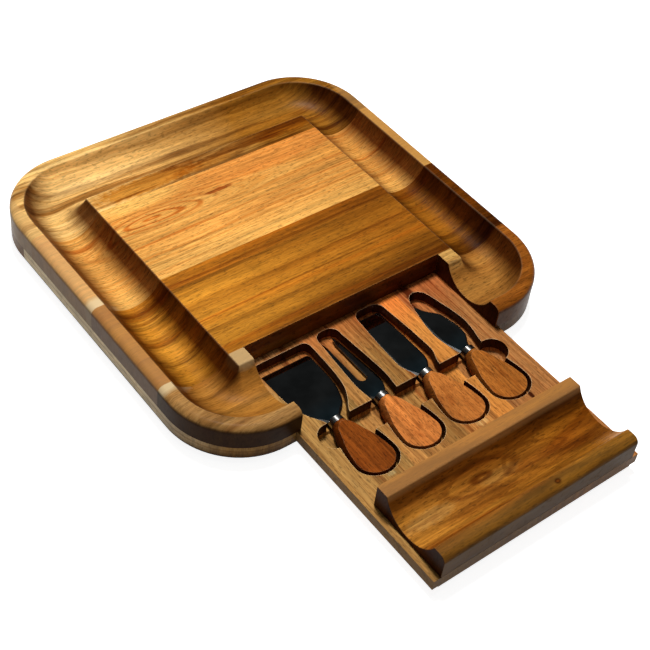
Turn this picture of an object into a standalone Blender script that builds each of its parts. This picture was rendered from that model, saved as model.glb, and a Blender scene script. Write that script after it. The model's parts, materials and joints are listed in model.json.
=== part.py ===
"""Square wooden cheese board with a moat, a slide-out drawer and four cheese tools.

Metres, +Z up. The board's own frame has its origin under the middle of the board, and the
drawer is modelled in it as if closed. Empties place the board, the pulled-out drawer and
each tool, so that the world origin is under the middle of the whole footprint.
"""

import math

import bmesh
import bpy
from mathutils import Matrix, Vector

# Whole board
BOARD_WIDTH = 0.330
BOARD_DEPTH = 0.327
CORNER_RADIUS = 0.060
BASE_THICKNESS = 0.0165
TOP_THICKNESS = 0.0195
EDGE_ROUNDOVER = 0.0055
FOOT_CHAMFER = 0.006

# Moat that runs round the plateau
RIM_WIDTH = 0.0115
MOAT_WIDTH = 0.0475
MOAT_DEPTH = 0.0164

# Planks behind the drawer's cut, as shares of the depth that they fill together
BACK_PLANK_SHARE = 0.3078
UPPER_PLANK_SHARE = 0.3451

# Bottom layer: the rail behind the drawer, as a share of the board's depth
BACK_RAIL_SHARE = 0.2003

# Drawer and how it runs
DRAWER_WIDTH = 0.181
BLOCK_DEPTH = 0.0695
BLOCK_BACK_CLEARANCE = 0.0025
TONGUE_REACH = 0.0057
TONGUE_THICKNESS = 0.0089
REST_OPENING = 0.1475

# Fits and clearances
GLUE_GAP = 0.0003
BLOCK_SIDE_CLEARANCE = 0.002
TONGUE_SIDE_CLEARANCE = 0.0008
BODY_SIDE_CLEARANCE = 0.0006
LEDGE_CLEARANCE = 0.0003
TRAY_TOP_CLEARANCE = 0.0005
TRAY_LIFT = 0.0006
TRAY_BACK_CLEARANCE = 0.0008

# Finger channel and pockets in the tray
CHANNEL_WIDTH = 0.0225
CHANNEL_BEHIND_NECK = 0.0015
CHANNEL_END_WALL = 0.00275
POCKET_LAND = 0.0157
POCKET_WALL = 0.0055
POCKET_END_LENGTH = 0.015
RECESS_DEPTH = 0.0098
RECESS_FILLET = 0.0012
CHANNEL_FILLET = 0.004
NOTCH_CLEARANCE = 0.0012

# Tools
TOOL_SPACING_SHARE = 0.2326
HANDLE_LENGTH = 0.0544
HANDLE_SIDE_CLEARANCE = 0.0018
HANDLE_THICKNESS = 0.0126
HANDLE_TOP_DROP = 0.0004
BUTT_CLEARANCE = 0.0016
POCKET_FLOOR_CLEARANCE = 0.0003
FERRULE_LENGTH = 0.005
FERRULE_DIAMETER = 0.012
FERRULE_EDGE = 0.0006
BLADE_THICKNESS = 0.0014
BLADE_EDGE = 0.0005
GRIND_WIDTH = 0.0014
ROOT_WIDTH = 0.0108
TANG_WIDTH = 0.005
TANG_LENGTH = 0.017
TANG_CLEARANCE = 0.0004

# Length and width of each blade and recess: share of the room behind the channel, share of the
# spacing between tools
SPADE_SIZE_SHARES = (0.5102, 1.0546)
SPADE_RECESS_SIZE_SHARES = (0.6051, 1.1758)
FORK_SIZE_SHARES = (0.5475, 0.5321)
FORK_RECESS_SIZE_SHARES = (0.6212, 0.6223)
FLAT_SIZE_SHARES = (0.5678, 0.5701)
FLAT_RECESS_SIZE_SHARES = (0.639, 0.7506)
POINTED_SIZE_SHARES = (0.4797, 0.5796)
POINTED_RECESS_SIZE_SHARES = (0.5814, 0.7268)

# Far corners of the recesses: share of the half width there, share of the length
SPADE_CORNER_SHARES = (0.222, 0.077)
FORK_CORNER_SHARES = (0.768, 0.1023)
FLAT_CORNER_SHARES = (0.617, 0.1061)
POINTED_CORNER_SHARES = ()

# Corner radii of the blades, and the fork's tines
SPADE_TIP_RADIUS = 0.003
FLAT_TIP_RADIUS = 0.002
FORK_TINE_WIDTH = 0.0036
FORK_SLOT_WIDTH = 0.0072
FORK_CROWN_LENGTH = 0.0175

# Cutting and meshing
OVERRUN = 0.004
WELD_DISTANCE = 0.00001
CORNER_STEPS = 8
PROFILE_STEPS = 12
TURN_STEPS = 28
FLAT_ANGLE = math.radians(0.5)

# Shapes as (share along, share of the half width), from the ferrule or the channel outwards
SPADE_SHARES = ((0, 0), (0.07, 0.24), (0.15, 0.57), (0.24, 0.74), (0.35, 0.88), (0.49, 0.965), (0.66, 1))
FLAT_SHARES = ((0, 0), (0.05, 0.35), (0.11, 0.75), (0.17, 0.93), (0.24, 1), (0.5, 0.97))
FORK_SHARES = ((0, 0), (0.05, 0.42), (0.11, 0.74), (0.18, 0.95), (0.26, 1), (0.34, 0.93))
BELLY_SHARES = ((0, 0), (0.08, 0.15), (0.15, 0.53), (0.22, 0.85), (0.29, 0.97), (0.37, 1), (0.5, 0.86),
                (0.61, 0.63), (0.71, 0.38))
SPINE_SHARES = ((0, 0), (0.08, 0.25), (0.17, 0.53), (0.29, 0.73), (0.45, 0.75), (0.65, 0.67), (0.82, 0.53))
TIP_SHARES = ((0.86, 0.02), (0.965, -0.22), (1, -0.32), (0.955, -0.43))
SPADE_RECESS_SHARES = ((0, 0.41), (0.05, 0.47), (0.12, 0.61), (0.19, 0.73), (0.26, 0.83), (0.33, 0.885),
                       (0.4, 0.925), (0.54, 0.965), (0.68, 0.985), (0.85, 1))
FORK_RECESS_SHARES = ((0, 0.88), (0.1, 0.945), (0.21, 1), (0.35, 0.97), (0.52, 0.905), (0.86, 0.745))
FLAT_RECESS_SHARES = ((0, 0.7), (0.06, 0.76), (0.107, 0.855), (0.173, 0.97), (0.24, 1), (0.505, 0.955),
                      (0.637, 0.91), (0.77, 0.855), (0.86, 0.82))
POINTED_RECESS_SHARES = ((0, 0.72), (0.06, 0.77), (0.12, 0.83), (0.2, 0.92), (0.34, 1), (0.45, 0.97),
                         (0.56, 0.9), (0.7, 0.76), (0.85, 0.61), (0.93, 0.48), (0.98, 0.26))
POCKET_SHARES = ((0, 1), (0.22, 0.99), (0.5, 0.95), (0.82, 0.87), (1, 0.8))
HANDLE_SHARES = ((0, 0), (0.04, 0.04), (0.11, 0.25), (0.22, 0.42), (0.31, 0.55), (0.4, 0.71), (0.53, 0.86),
                 (0.64, 0.95), (0.74, 1))

# Places worked out from the sizes above
BOARD_PLACE = REST_OPENING / 2
TOP_HEIGHT = BASE_THICKNESS + TOP_THICKNESS
HALF_WIDTH = BOARD_WIDTH / 2
HALF_DEPTH = BOARD_DEPTH / 2
PLANK_RUN = BOARD_DEPTH - BLOCK_DEPTH - BLOCK_BACK_CLEARANCE
BACK_JOINT = HALF_DEPTH - BACK_PLANK_SHARE * PLANK_RUN
MIDDLE_JOINT = BACK_JOINT - UPPER_PLANK_SHARE * PLANK_RUN
FRONT_JOINT = HALF_DEPTH - PLANK_RUN
RAIL_JOINT = HALF_DEPTH - BACK_RAIL_SHARE * BOARD_DEPTH
BODY_HALF = DRAWER_WIDTH / 2
TONGUE_HALF = BODY_HALF + TONGUE_REACH
BAY_HALF = BODY_HALF + BLOCK_SIDE_CLEARANCE
TRAY_TOP = BASE_THICKNESS - TRAY_TOP_CLEARANCE
LEDGE_HEIGHT = TRAY_TOP - TONGUE_THICKNESS - LEDGE_CLEARANCE
BLOCK_BACK = -HALF_DEPTH + BLOCK_DEPTH
POCKET_END = BLOCK_BACK + POCKET_LAND
NECK_PLACE = POCKET_END + BUTT_CLEARANCE + HANDLE_LENGTH
FERRULE_TIP = GLUE_GAP + FERRULE_LENGTH
CHANNEL_BACK = NECK_PLACE + CHANNEL_BEHIND_NECK
CHANNEL_FRONT = CHANNEL_BACK - CHANNEL_WIDTH
BLADE_ROOM = RAIL_JOINT - TRAY_BACK_CLEARANCE - CHANNEL_BACK
TOOL_SPACING = TOOL_SPACING_SHARE * DRAWER_WIDTH
POCKET_WIDTH = TOOL_SPACING - POCKET_WALL
HANDLE_WIDTH = POCKET_WIDTH - 2 * HANDLE_SIDE_CLEARANCE
AXIS_DROP = HANDLE_TOP_DROP + HANDLE_THICKNESS / 2
POCKET_DEPTH = AXIS_DROP + HANDLE_THICKNESS / 2 + POCKET_FLOOR_CLEARANCE

# Colours: name of the wood or metal, base colour, roughness and metallic value
HONEY = ("honey_acacia", (0.55, 0.30, 0.11), 0.42, 0.0)
GOLDEN = ("golden_acacia", (0.60, 0.35, 0.13), 0.42, 0.0)
BROWN = ("brown_acacia", (0.42, 0.22, 0.08), 0.42, 0.0)
PALE = ("pale_sapwood", (0.70, 0.50, 0.27), 0.45, 0.0)
DARK = ("dark_heartwood", (0.24, 0.12, 0.05), 0.42, 0.0)
ROSY = ("rosy_acacia", (0.48, 0.24, 0.11), 0.40, 0.0)
STEEL = ("polished_steel", (0.32, 0.33, 0.34), 0.12, 1.0)
FERRULE_STEEL = ("ferrule_steel", (0.60, 0.60, 0.60), 0.20, 1.0)
HANDLE_WOODS = {
    "spade": ("reddish_handle_wood", (0.27, 0.10, 0.03), 0.35, 0.0),
    "fork": ("orange_handle_wood", (0.50, 0.18, 0.05), 0.35, 0.0),
    "flat_knife": ("mid_handle_wood", (0.38, 0.15, 0.05), 0.35, 0.0),
    "pointed_knife": ("streaked_handle_wood", (0.40, 0.19, 0.06), 0.35, 0.0),
}


def clear_scene():
    for thing in list(bpy.data.objects):
        bpy.data.objects.remove(thing, do_unlink=True)


def new_collection(name):
    collection = bpy.data.collections.new(name)
    bpy.context.scene.collection.children.link(collection)
    return collection


def material(kind):
    """Principled material of one wood or metal, made once."""
    name, colour, roughness, metallic = kind
    found = bpy.data.materials.get(name)
    if found:
        return found
    made = bpy.data.materials.new(name)
    made.use_nodes = True
    shader = made.node_tree.nodes["Principled BSDF"]
    shader.inputs["Base Color"].default_value = (*colour, 1)
    shader.inputs["Roughness"].default_value = roughness
    shader.inputs["Metallic"].default_value = metallic
    return made


def empty(name, place, collection, parent=None):
    """Frame that carries the pieces of one body."""
    made = bpy.data.objects.new(name, None)
    made.location = place
    made.parent = parent
    collection.objects.link(made)
    return made


def mesh_from(bm, name):
    bmesh.ops.recalc_face_normals(bm, faces=bm.faces)
    mesh = bpy.data.meshes.new(name)
    bm.to_mesh(mesh)
    bm.free()
    return mesh


def box_mesh(name, low, high):
    """Box between its lowest and highest corner."""
    low, high = Vector(low), Vector(high)
    bm = bmesh.new()
    bmesh.ops.create_cube(bm, size=1, matrix=Matrix.LocRotScale((low + high) / 2, None, high - low))
    return mesh_from(bm, name)


def curve_bmesh(curve):
    """Closed mesh of a curve, with its caps welded on and flat faces merged."""
    holder = bpy.data.objects.new(curve.name, curve)
    bpy.context.scene.collection.objects.link(holder)
    graph = bpy.context.evaluated_depsgraph_get()
    mesh = bpy.data.meshes.new_from_object(holder.evaluated_get(graph))
    bpy.data.objects.remove(holder)
    bm = bmesh.new()
    bm.from_mesh(mesh)
    bmesh.ops.remove_doubles(bm, verts=bm.verts, dist=WELD_DISTANCE)
    bmesh.ops.dissolve_limit(bm, angle_limit=FLAT_ANGLE, verts=bm.verts, edges=bm.edges)
    return bm


def flat_curve(name, points):
    """Closed flat curve through the points of an outline."""
    curve = bpy.data.curves.new(name, "CURVE")
    curve.dimensions = "2D"
    curve.fill_mode = "BOTH"
    spline = curve.splines.new("POLY")
    spline.points.add(len(points) - 1)
    for point, (x, y) in zip(spline.points, points):
        point.co = (x, y, 0, 1)
    spline.use_cyclic_u = True
    return curve


def outline_bmesh(name, points, low, high):
    """Solid with a flat outline between two heights."""
    curve = flat_curve(name, points)
    curve.extrude = (high - low) / 2
    bm = curve_bmesh(curve)
    bmesh.ops.translate(bm, verts=bm.verts, vec=(0, 0, (high + low) / 2))
    return bm


def level_edges(bm, height):
    """Edges that lie at one height."""
    return [edge for edge in bm.edges
            if all(abs(vert.co.z - height) < WELD_DISTANCE for vert in edge.verts)]


def bevel(bm, edges, width, segments):
    bmesh.ops.bevel(bm, geom=edges, offset=width, offset_type="OFFSET", segments=segments,
                    profile=0.5, affect="EDGES", clamp_overlap=True)


def add_piece(name, mesh, kind, collection, parent):
    """Named object of one sub-part, shaded smooth between its sharp edges."""
    made = bpy.data.objects.new(name, mesh)
    made.parent = parent
    collection.objects.link(made)
    mesh.materials.append(material(kind))
    mesh.shade_smooth()
    mesh.set_sharp_from_angle(angle=math.radians(35))
    return made


def add_cutter(name, mesh, collection, parent):
    """Wire guide that other pieces are cut with."""
    made = bpy.data.objects.new(name, mesh)
    made.parent = parent
    made.hide_render = True
    made.display_type = "WIRE"
    collection.objects.link(made)
    return made


def combine(piece, cutter, operation="DIFFERENCE", overlaps=False):
    modifier = piece.modifiers.new(cutter.name, "BOOLEAN")
    modifier.operation = operation
    modifier.solver = "EXACT"
    modifier.use_self = overlaps
    modifier.object = cutter


def arc(centre, radii, start, stop, steps):
    """Points on an elliptical arc, angles in degrees."""
    points = []
    for step in range(steps + 1):
        angle = math.radians(start + (stop - start) * step / steps)
        points.append((centre[0] + radii[0] * math.cos(angle), centre[1] + radii[1] * math.sin(angle)))
    return points


def smooth(stations, steps=3):
    """Points on a Catmull-Rom curve through the stations."""
    ends = [stations[0], *stations, stations[-1]]
    points = []
    for a, b, c, d in zip(ends, ends[1:], ends[2:], ends[3:]):
        for step in range(steps):
            t = step / steps
            points.append(tuple(
                (2 * q + (r - p) * t + (2 * p - 5 * q + 4 * r - s) * t ** 2
                 + (3 * q - p - 3 * r + s) * t ** 3) / 2
                for p, q, r, s in zip(a, b, c, d)))
    points.append(tuple(stations[-1]))
    return points


def mirrored(half):
    """Closed outline from its right half, listed from bottom to top."""
    left = [(-x, y) for x, y in reversed(half) if x > WELD_DISTANCE]
    return half + left


def rounded_rectangle(half_x, half_y, radius):
    points = []
    for quarter, (side_x, side_y) in enumerate(((1, 1), (-1, 1), (-1, -1), (1, -1))):
        centre = (side_x * (half_x - radius), side_y * (half_y - radius))
        points += arc(centre, (radius, radius), 90 * quarter, 90 * quarter + 90, CORNER_STEPS)
    return points


# Board: top layer with the moat, and bottom layer with the drawer bay

def top_blank(name):
    """Top layer before it is split into planks, with its rounded upper edge."""
    outline = rounded_rectangle(HALF_WIDTH, HALF_DEPTH, CORNER_RADIUS)
    bm = outline_bmesh(name, outline, BASE_THICKNESS, TOP_HEIGHT)
    bevel(bm, level_edges(bm, TOP_HEIGHT), EDGE_ROUNDOVER, 4)
    return mesh_from(bm, name)


def base_blank(name):
    """Bottom layer before it is split, with its undercut lower edge."""
    outline = rounded_rectangle(HALF_WIDTH, HALF_DEPTH, CORNER_RADIUS)
    bm = outline_bmesh(name, outline, 0, BASE_THICKNESS - GLUE_GAP)
    bevel(bm, level_edges(bm, 0), FOOT_CHAMFER, 1)
    return mesh_from(bm, name)


def moat_profile():
    """Section of the moat: part of a circle below the top face, closed above it."""
    radius = (MOAT_WIDTH ** 2 / 4 + MOAT_DEPTH ** 2) / (2 * MOAT_DEPTH)
    centre_height = radius - MOAT_DEPTH
    cut_height = min(OVERRUN / 2, centre_height)
    reach = math.degrees(math.asin((centre_height - cut_height) / radius))
    return arc((0, centre_height), (radius, radius), 180 + reach, 360 - reach, PROFILE_STEPS)


def moat_cutter(name, frame, parent):
    """The section swept round a loop midway between the rim and the plateau."""
    profile = bpy.data.objects.new("moat_profile", flat_curve("moat_profile", moat_profile()))
    bpy.context.scene.collection.objects.link(profile)
    inset = RIM_WIDTH + MOAT_WIDTH / 2
    loop = rounded_rectangle(HALF_WIDTH - inset, HALF_DEPTH - inset, CORNER_RADIUS - inset)
    path = flat_curve("moat_path", loop)
    path.fill_mode = "NONE"
    path.bevel_mode = "OBJECT"
    path.bevel_object = profile
    bm = curve_bmesh(path)
    bmesh.ops.translate(bm, verts=bm.verts, vec=(0, 0, TOP_HEIGHT))
    bpy.data.objects.remove(profile)
    return add_cutter(name, mesh_from(bm, name), frame["cutters"], parent)


def plank(name, kind, low, high, frame, moat):
    """One plank of the top layer: its part of the blank, less the moat."""
    made = add_piece(name, top_blank(name), kind, frame["parts"], frame["board"])
    band = box_mesh(name + "_band", (*low, -OVERRUN), (*high, TOP_HEIGHT + OVERRUN))
    combine(made, add_cutter(name + "_band", band, frame["cutters"], frame["board"]), "INTERSECT")
    combine(made, moat, overlaps=True)
    return made


def top_planks(frame, moat):
    side = HALF_WIDTH + OVERRUN
    half_gap = GLUE_GAP / 2
    back = HALF_DEPTH + OVERRUN
    plank("back_plank", GOLDEN, (-side, BACK_JOINT + half_gap), (side, back), frame, moat)
    plank("upper_middle_plank", HONEY, (-side, MIDDLE_JOINT + half_gap), (side, BACK_JOINT - half_gap),
          frame, moat)
    plank("lower_middle_plank", BROWN, (-side, FRONT_JOINT + half_gap), (side, MIDDLE_JOINT - half_gap),
          frame, moat)
    plank("front_left_corner", PALE, (-side, -back), (-BAY_HALF, FRONT_JOINT - half_gap), frame, moat)
    plank("front_right_corner", PALE, (BAY_HALF, -back), (side, FRONT_JOINT - half_gap), frame, moat)


def rail(name, kind, low, high, frame):
    """One piece of the bottom layer: its part of the blank."""
    made = add_piece(name, base_blank(name), kind, frame["parts"], frame["board"])
    band = box_mesh(name + "_band", (*low, -OVERRUN), (*high, TOP_HEIGHT))
    combine(made, add_cutter(name + "_band", band, frame["cutters"], frame["board"]), "INTERSECT")
    return made


def bottom_rails(frame):
    """Two runners with a ledge for the drawer's tongues, and the rail behind the drawer."""
    side = HALF_WIDTH + OVERRUN
    back = HALF_DEPTH + OVERRUN
    inner = BODY_HALF + BODY_SIDE_CLEARANCE
    half_gap = GLUE_GAP / 2
    left = rail("left_runner", PALE, (-side, -back), (-inner, RAIL_JOINT - half_gap), frame)
    right = rail("right_runner", PALE, (inner, -back), (side, RAIL_JOINT - half_gap), frame)
    rail("back_rail", DARK, (-side, RAIL_JOINT + half_gap), (side, back), frame)
    slot_half = TONGUE_HALF + TONGUE_SIDE_CLEARANCE
    slot = box_mesh("tongue_slot", (-slot_half, -back, LEDGE_HEIGHT), (slot_half, back, TOP_HEIGHT))
    cutter = add_cutter("tongue_slot", slot, frame["cutters"], frame["board"])
    combine(left, cutter)
    combine(right, cutter)


# Drawer: tray with its recesses, and the trough block glued on its front

def scaled(shares, length, half, start=0):
    """Stations of an outline from shares along a length and across a half width."""
    return [(across * half, start + along * length) for along, across in shares]


def square_end(half, end, across, along):
    """Rounded corner of an outline's right half and the middle of its flat end."""
    corner = arc((half - across, end - along), (across, along), 0, 90, CORNER_STEPS // 2)
    return corner + [(0, end)]


def tool_size(shares):
    """Length and width of a blade or its recess."""
    along, across = shares
    return along * BLADE_ROOM, across * TOOL_SPACING


def recess_outline(shares, size_shares, corner_shares):
    """Blade recess that opens into the finger channel, in the tool's own frame."""
    length, width = tool_size(size_shares)
    wall = CHANNEL_BACK - NECK_PLACE
    sides = smooth(scaled(shares, length, width / 2, wall))
    mouth = [(sides[0][0], wall - OVERRUN)]
    end = [(0, wall + length)]
    if corner_shares:
        half = sides[-1][0]
        end = square_end(half, wall + length, corner_shares[0] * half, corner_shares[1] * length)
    return mirrored(mouth + sides + end)


def pocket_outline():
    """Handle pocket from its round end to the finger channel, in the tool's own frame."""
    half = POCKET_WIDTH / 2
    end = POCKET_END - NECK_PLACE
    widest = end + POCKET_END_LENGTH
    mouth = CHANNEL_FRONT + OVERRUN - NECK_PLACE
    sides = smooth(scaled(POCKET_SHARES, mouth - widest, half, widest))
    return mirrored(arc((0, widest), (half, POCKET_END_LENGTH), -90, 0, CORNER_STEPS)[:-1] + sides)


def notch_outline():
    """Deeper notch under the ferrule, behind the finger channel."""
    half = FERRULE_DIAMETER / 2 + NOTCH_CLEARANCE
    mouth = CHANNEL_BACK - NECK_PLACE - OVERRUN
    end = FERRULE_TIP + NOTCH_CLEARANCE
    return mirrored([(half, mouth)] + square_end(half, end, NOTCH_CLEARANCE, NOTCH_CLEARANCE))


def channel_outline():
    """Finger channel across all four tools, with round ends, in the board's frame."""
    radius = CHANNEL_WIDTH / 2
    middle = (CHANNEL_BACK + CHANNEL_FRONT) / 2
    reach = BODY_HALF - CHANNEL_END_WALL - radius
    right = arc((reach, middle), (radius, radius), -90, 90, 2 * CORNER_STEPS)
    left = arc((-reach, middle), (radius, radius), 90, 270, 2 * CORNER_STEPS)
    return right + left


def rout(tray, name, outline, depth, fillet, place, frame):
    """Cut one recess down from the tray's top, with a rounded floor edge."""
    floor = TRAY_TOP - depth
    bm = outline_bmesh(name, outline, floor, TRAY_TOP + OVERRUN)
    if fillet:
        bevel(bm, level_edges(bm, floor), fillet, 2)
    bmesh.ops.translate(bm, verts=bm.verts, vec=place)
    combine(tray, add_cutter(name, mesh_from(bm, name), frame["cutters"], frame["drawer"]))


def tray_blank():
    """Tray with its undercut front edge, before the tongues and recesses are cut."""
    back = RAIL_JOINT - TRAY_BACK_CLEARANCE
    mesh = box_mesh("drawer_tray", (-TONGUE_HALF, -HALF_DEPTH, TRAY_LIFT), (TONGUE_HALF, back, TRAY_TOP))
    bm = bmesh.new()
    bm.from_mesh(mesh)
    front = [edge for edge in level_edges(bm, TRAY_LIFT)
             if all(abs(vert.co.y + HALF_DEPTH) < WELD_DISTANCE for vert in edge.verts)]
    bevel(bm, front, FOOT_CHAMFER - TRAY_LIFT, 1)
    return mesh_from(bm, "drawer_tray")


def drawer_tray(frame, tools):
    tray = add_piece("drawer_tray", tray_blank(), ROSY, frame["parts"], frame["drawer"])
    reach = HALF_DEPTH + OVERRUN
    below = LEDGE_HEIGHT + LEDGE_CLEARANCE
    for side, name in ((-1, "left_rabbet"), (1, "right_rabbet")):
        inner, outer = side * BODY_HALF, side * (TONGUE_HALF + OVERRUN)
        rabbet = box_mesh(name, (min(inner, outer), -reach, -OVERRUN), (max(inner, outer), reach, below))
        combine(tray, add_cutter(name, rabbet, frame["cutters"], frame["drawer"]))
    rout(tray, "finger_channel", channel_outline(), POCKET_DEPTH, CHANNEL_FILLET, (0, 0, 0), frame)
    for tool in tools:
        place = (tool["side"], NECK_PLACE, 0)
        rout(tray, tool["name"] + "_pocket", pocket_outline(), POCKET_DEPTH, 0, place, frame)
        rout(tray, tool["name"] + "_notch", notch_outline(), POCKET_DEPTH, 0, place, frame)
        rout(tray, tool["name"] + "_recess", tool["recess"], RECESS_DEPTH, RECESS_FILLET, place, frame)
    return tray


def trough_block(frame, moat):
    """Block that closes the board's front, with the front run of the moat in it."""
    mesh = box_mesh("trough_block", (-BODY_HALF, -HALF_DEPTH, TRAY_TOP + GLUE_GAP),
                    (BODY_HALF, BLOCK_BACK, TOP_HEIGHT))
    bm = bmesh.new()
    bm.from_mesh(mesh)
    front = [edge for edge in level_edges(bm, TOP_HEIGHT)
             if all(abs(vert.co.y + HALF_DEPTH) < WELD_DISTANCE for vert in edge.verts)]
    bevel(bm, front, EDGE_ROUNDOVER, 4)
    made = add_piece("trough_block", mesh_from(bm, "trough_block"), GOLDEN, frame["parts"],
                     frame["drawer"])
    combine(made, moat, overlaps=True)
    return made


# Tools: blade, ferrule and handle, in a frame with its origin where the handle ends

def blade_half(shares, size_shares):
    """Right side of a blade, from the tang outwards."""
    length, width = tool_size(size_shares)
    shoulder = FERRULE_TIP + GLUE_GAP
    root = ROOT_WIDTH / 2
    tang = [(TANG_WIDTH / 2, -TANG_LENGTH), (TANG_WIDTH / 2, shoulder)]
    side = [(root + across * (width / 2 - root), shoulder + along * length) for along, across in shares]
    return tang + smooth(side)


def spade_outline():
    length, width = tool_size(SPADE_SIZE_SHARES)
    end = FERRULE_TIP + GLUE_GAP + length
    half = blade_half(SPADE_SHARES, SPADE_SIZE_SHARES)
    return mirrored(half + square_end(width / 2, end, SPADE_TIP_RADIUS, SPADE_TIP_RADIUS))


def flat_outline():
    end = FERRULE_TIP + GLUE_GAP + tool_size(FLAT_SIZE_SHARES)[0]
    half = blade_half(FLAT_SHARES, FLAT_SIZE_SHARES)
    corner = half[-1][0] - FLAT_TIP_RADIUS / 2
    return mirrored(half + square_end(corner, end, FLAT_TIP_RADIUS, FLAT_TIP_RADIUS))


def fork_outline():
    """Two tapered tines either side of a slot with a round end."""
    end = FERRULE_TIP + GLUE_GAP + tool_size(FORK_SIZE_SHARES)[0]
    half = blade_half(FORK_SHARES, FORK_SIZE_SHARES)
    slot = FORK_SLOT_WIDTH / 2
    crown = FERRULE_TIP + GLUE_GAP + FORK_CROWN_LENGTH
    tine = [(slot + FORK_TINE_WIDTH, end - FORK_TINE_WIDTH), (slot + FORK_TINE_WIDTH / 2, end),
            (slot, end - 2 * FORK_TINE_WIDTH)]
    bottom = arc((0, crown + slot), (slot, slot), 0, -90, CORNER_STEPS // 2)
    return mirrored(half + tine + bottom)


def pointed_outline():
    """Curved belly on the right, straighter spine on the left, and the point to the left."""
    shoulder = FERRULE_TIP + GLUE_GAP
    root = ROOT_WIDTH / 2
    length, width = tool_size(POINTED_SIZE_SHARES)
    widest = width / 2

    def side(shares):
        return [(root + across * (widest - root), shoulder + along * length) for along, across in shares]

    belly = side(BELLY_SHARES)
    point = [(across * widest, shoulder + along * length) for along, across in TIP_SHARES]
    spine = [(-x, y) for x, y in side(SPINE_SHARES)]
    tang = TANG_WIDTH / 2
    right = [(tang, -TANG_LENGTH), (tang, shoulder)] + smooth(belly + point[:3])
    left = smooth([point[3]] + spine[::-1]) + [(-tang, shoulder), (-tang, -TANG_LENGTH)]
    return right + left


def blade(tool, frame):
    """Flat blade with its tang; its edge is thin and a ground border rises to full thickness."""
    name = tool["name"] + "_blade"
    low = -BLADE_THICKNESS / 2
    bm = outline_bmesh(name, tool["outline"], low, low + BLADE_EDGE)
    top = [face for face in bm.faces if face.calc_center_median().z > low + BLADE_EDGE - WELD_DISTANCE]
    bmesh.ops.recalc_face_normals(bm, faces=bm.faces)
    bmesh.ops.inset_region(bm, faces=top, thickness=tool["grind"], depth=BLADE_THICKNESS - BLADE_EDGE,
                           use_even_offset=True)
    return add_piece(name, mesh_from(bm, name), STEEL, frame["parts"], tool["frame"])


def turned(name, profile, closed, kind, frame, parent):
    """Solid turned from a profile of (radius, height), listed down its outer side."""
    bm = bmesh.new()
    verts = [bm.verts.new((radius, 0, height)) for radius, height in profile]
    pairs = list(zip(verts, verts[1:]))
    if closed:
        pairs.append((verts[-1], verts[0]))
    for pair in pairs:
        bm.edges.new(pair)
    mesh = bpy.data.meshes.new(name)
    bm.to_mesh(mesh)
    bm.free()
    made = add_piece(name, mesh, kind, frame["parts"], parent)
    made.rotation_euler = (-math.pi / 2, 0, 0)
    screw = made.modifiers.new("turn", "SCREW")
    screw.steps = screw.render_steps = TURN_STEPS
    screw.use_merge_vertices = True
    screw.merge_threshold = WELD_DISTANCE
    screw.use_smooth_shade = True
    return made


def ferrule(tool, frame):
    """Turned ring that the tang passes through."""
    bore = math.hypot(TANG_WIDTH, BLADE_THICKNESS) / 2 + TANG_CLEARANCE
    outer = FERRULE_DIAMETER / 2
    profile = [(bore, FERRULE_TIP), (outer - FERRULE_EDGE, FERRULE_TIP), (outer, FERRULE_TIP - FERRULE_EDGE),
               (outer, GLUE_GAP), (bore, GLUE_GAP)]
    return turned(tool["name"] + "_ferrule", profile, True, FERRULE_STEEL, frame, tool["frame"])


def handle_profile():
    """Pear-shaped section from the tang's bore, over the neck and belly, to the round butt."""
    bore = math.hypot(TANG_WIDTH, BLADE_THICKNESS) / 2 + TANG_CLEARANCE
    neck = FERRULE_DIAMETER / 2
    belly = HANDLE_WIDTH / 2
    side = [(neck + across * (belly - neck), -along * HANDLE_LENGTH) for along, across in HANDLE_SHARES]
    widest = -HANDLE_SHARES[-1][0] * HANDLE_LENGTH
    butt = arc((0, widest), (belly, HANDLE_LENGTH + widest), 0, -90, CORNER_STEPS)[1:]
    bore_end = -TANG_LENGTH - TANG_CLEARANCE
    return [(0, bore_end), (bore, bore_end), (bore, 0)] + smooth(side, 2) + butt


def handle(tool, frame):
    """Turned handle with a flat face on its top and its underside."""
    name = tool["name"] + "_handle"
    made = turned(name, handle_profile(), False, HANDLE_WOODS[tool["name"]], frame, tool["frame"])
    half = HANDLE_THICKNESS / 2
    reach = HANDLE_WIDTH / 2 + OVERRUN
    slab = box_mesh(name + "_flats", (-reach, -HANDLE_LENGTH - OVERRUN, -half), (reach, OVERRUN, half))
    combine(made, add_cutter(name + "_flats", slab, frame["cutters"], tool["frame"]), "INTERSECT")
    return made


def tool_list():
    """The four tools from left to right, with the outline of each blade and recess."""
    kinds = [
        ("spade", spade_outline(), GRIND_WIDTH,
         recess_outline(SPADE_RECESS_SHARES, SPADE_RECESS_SIZE_SHARES, SPADE_CORNER_SHARES)),
        ("fork", fork_outline(), FORK_TINE_WIDTH / 4,
         recess_outline(FORK_RECESS_SHARES, FORK_RECESS_SIZE_SHARES, FORK_CORNER_SHARES)),
        ("flat_knife", flat_outline(), GRIND_WIDTH,
         recess_outline(FLAT_RECESS_SHARES, FLAT_RECESS_SIZE_SHARES, FLAT_CORNER_SHARES)),
        ("pointed_knife", pointed_outline(), GRIND_WIDTH,
         recess_outline(POINTED_RECESS_SHARES, POINTED_RECESS_SIZE_SHARES, POINTED_CORNER_SHARES)),
    ]
    middle = (len(kinds) - 1) / 2
    return [{"name": name, "outline": outline, "grind": grind, "recess": recess,
             "side": (index - middle) * TOOL_SPACING}
            for index, (name, outline, grind, recess) in enumerate(kinds)]


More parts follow.
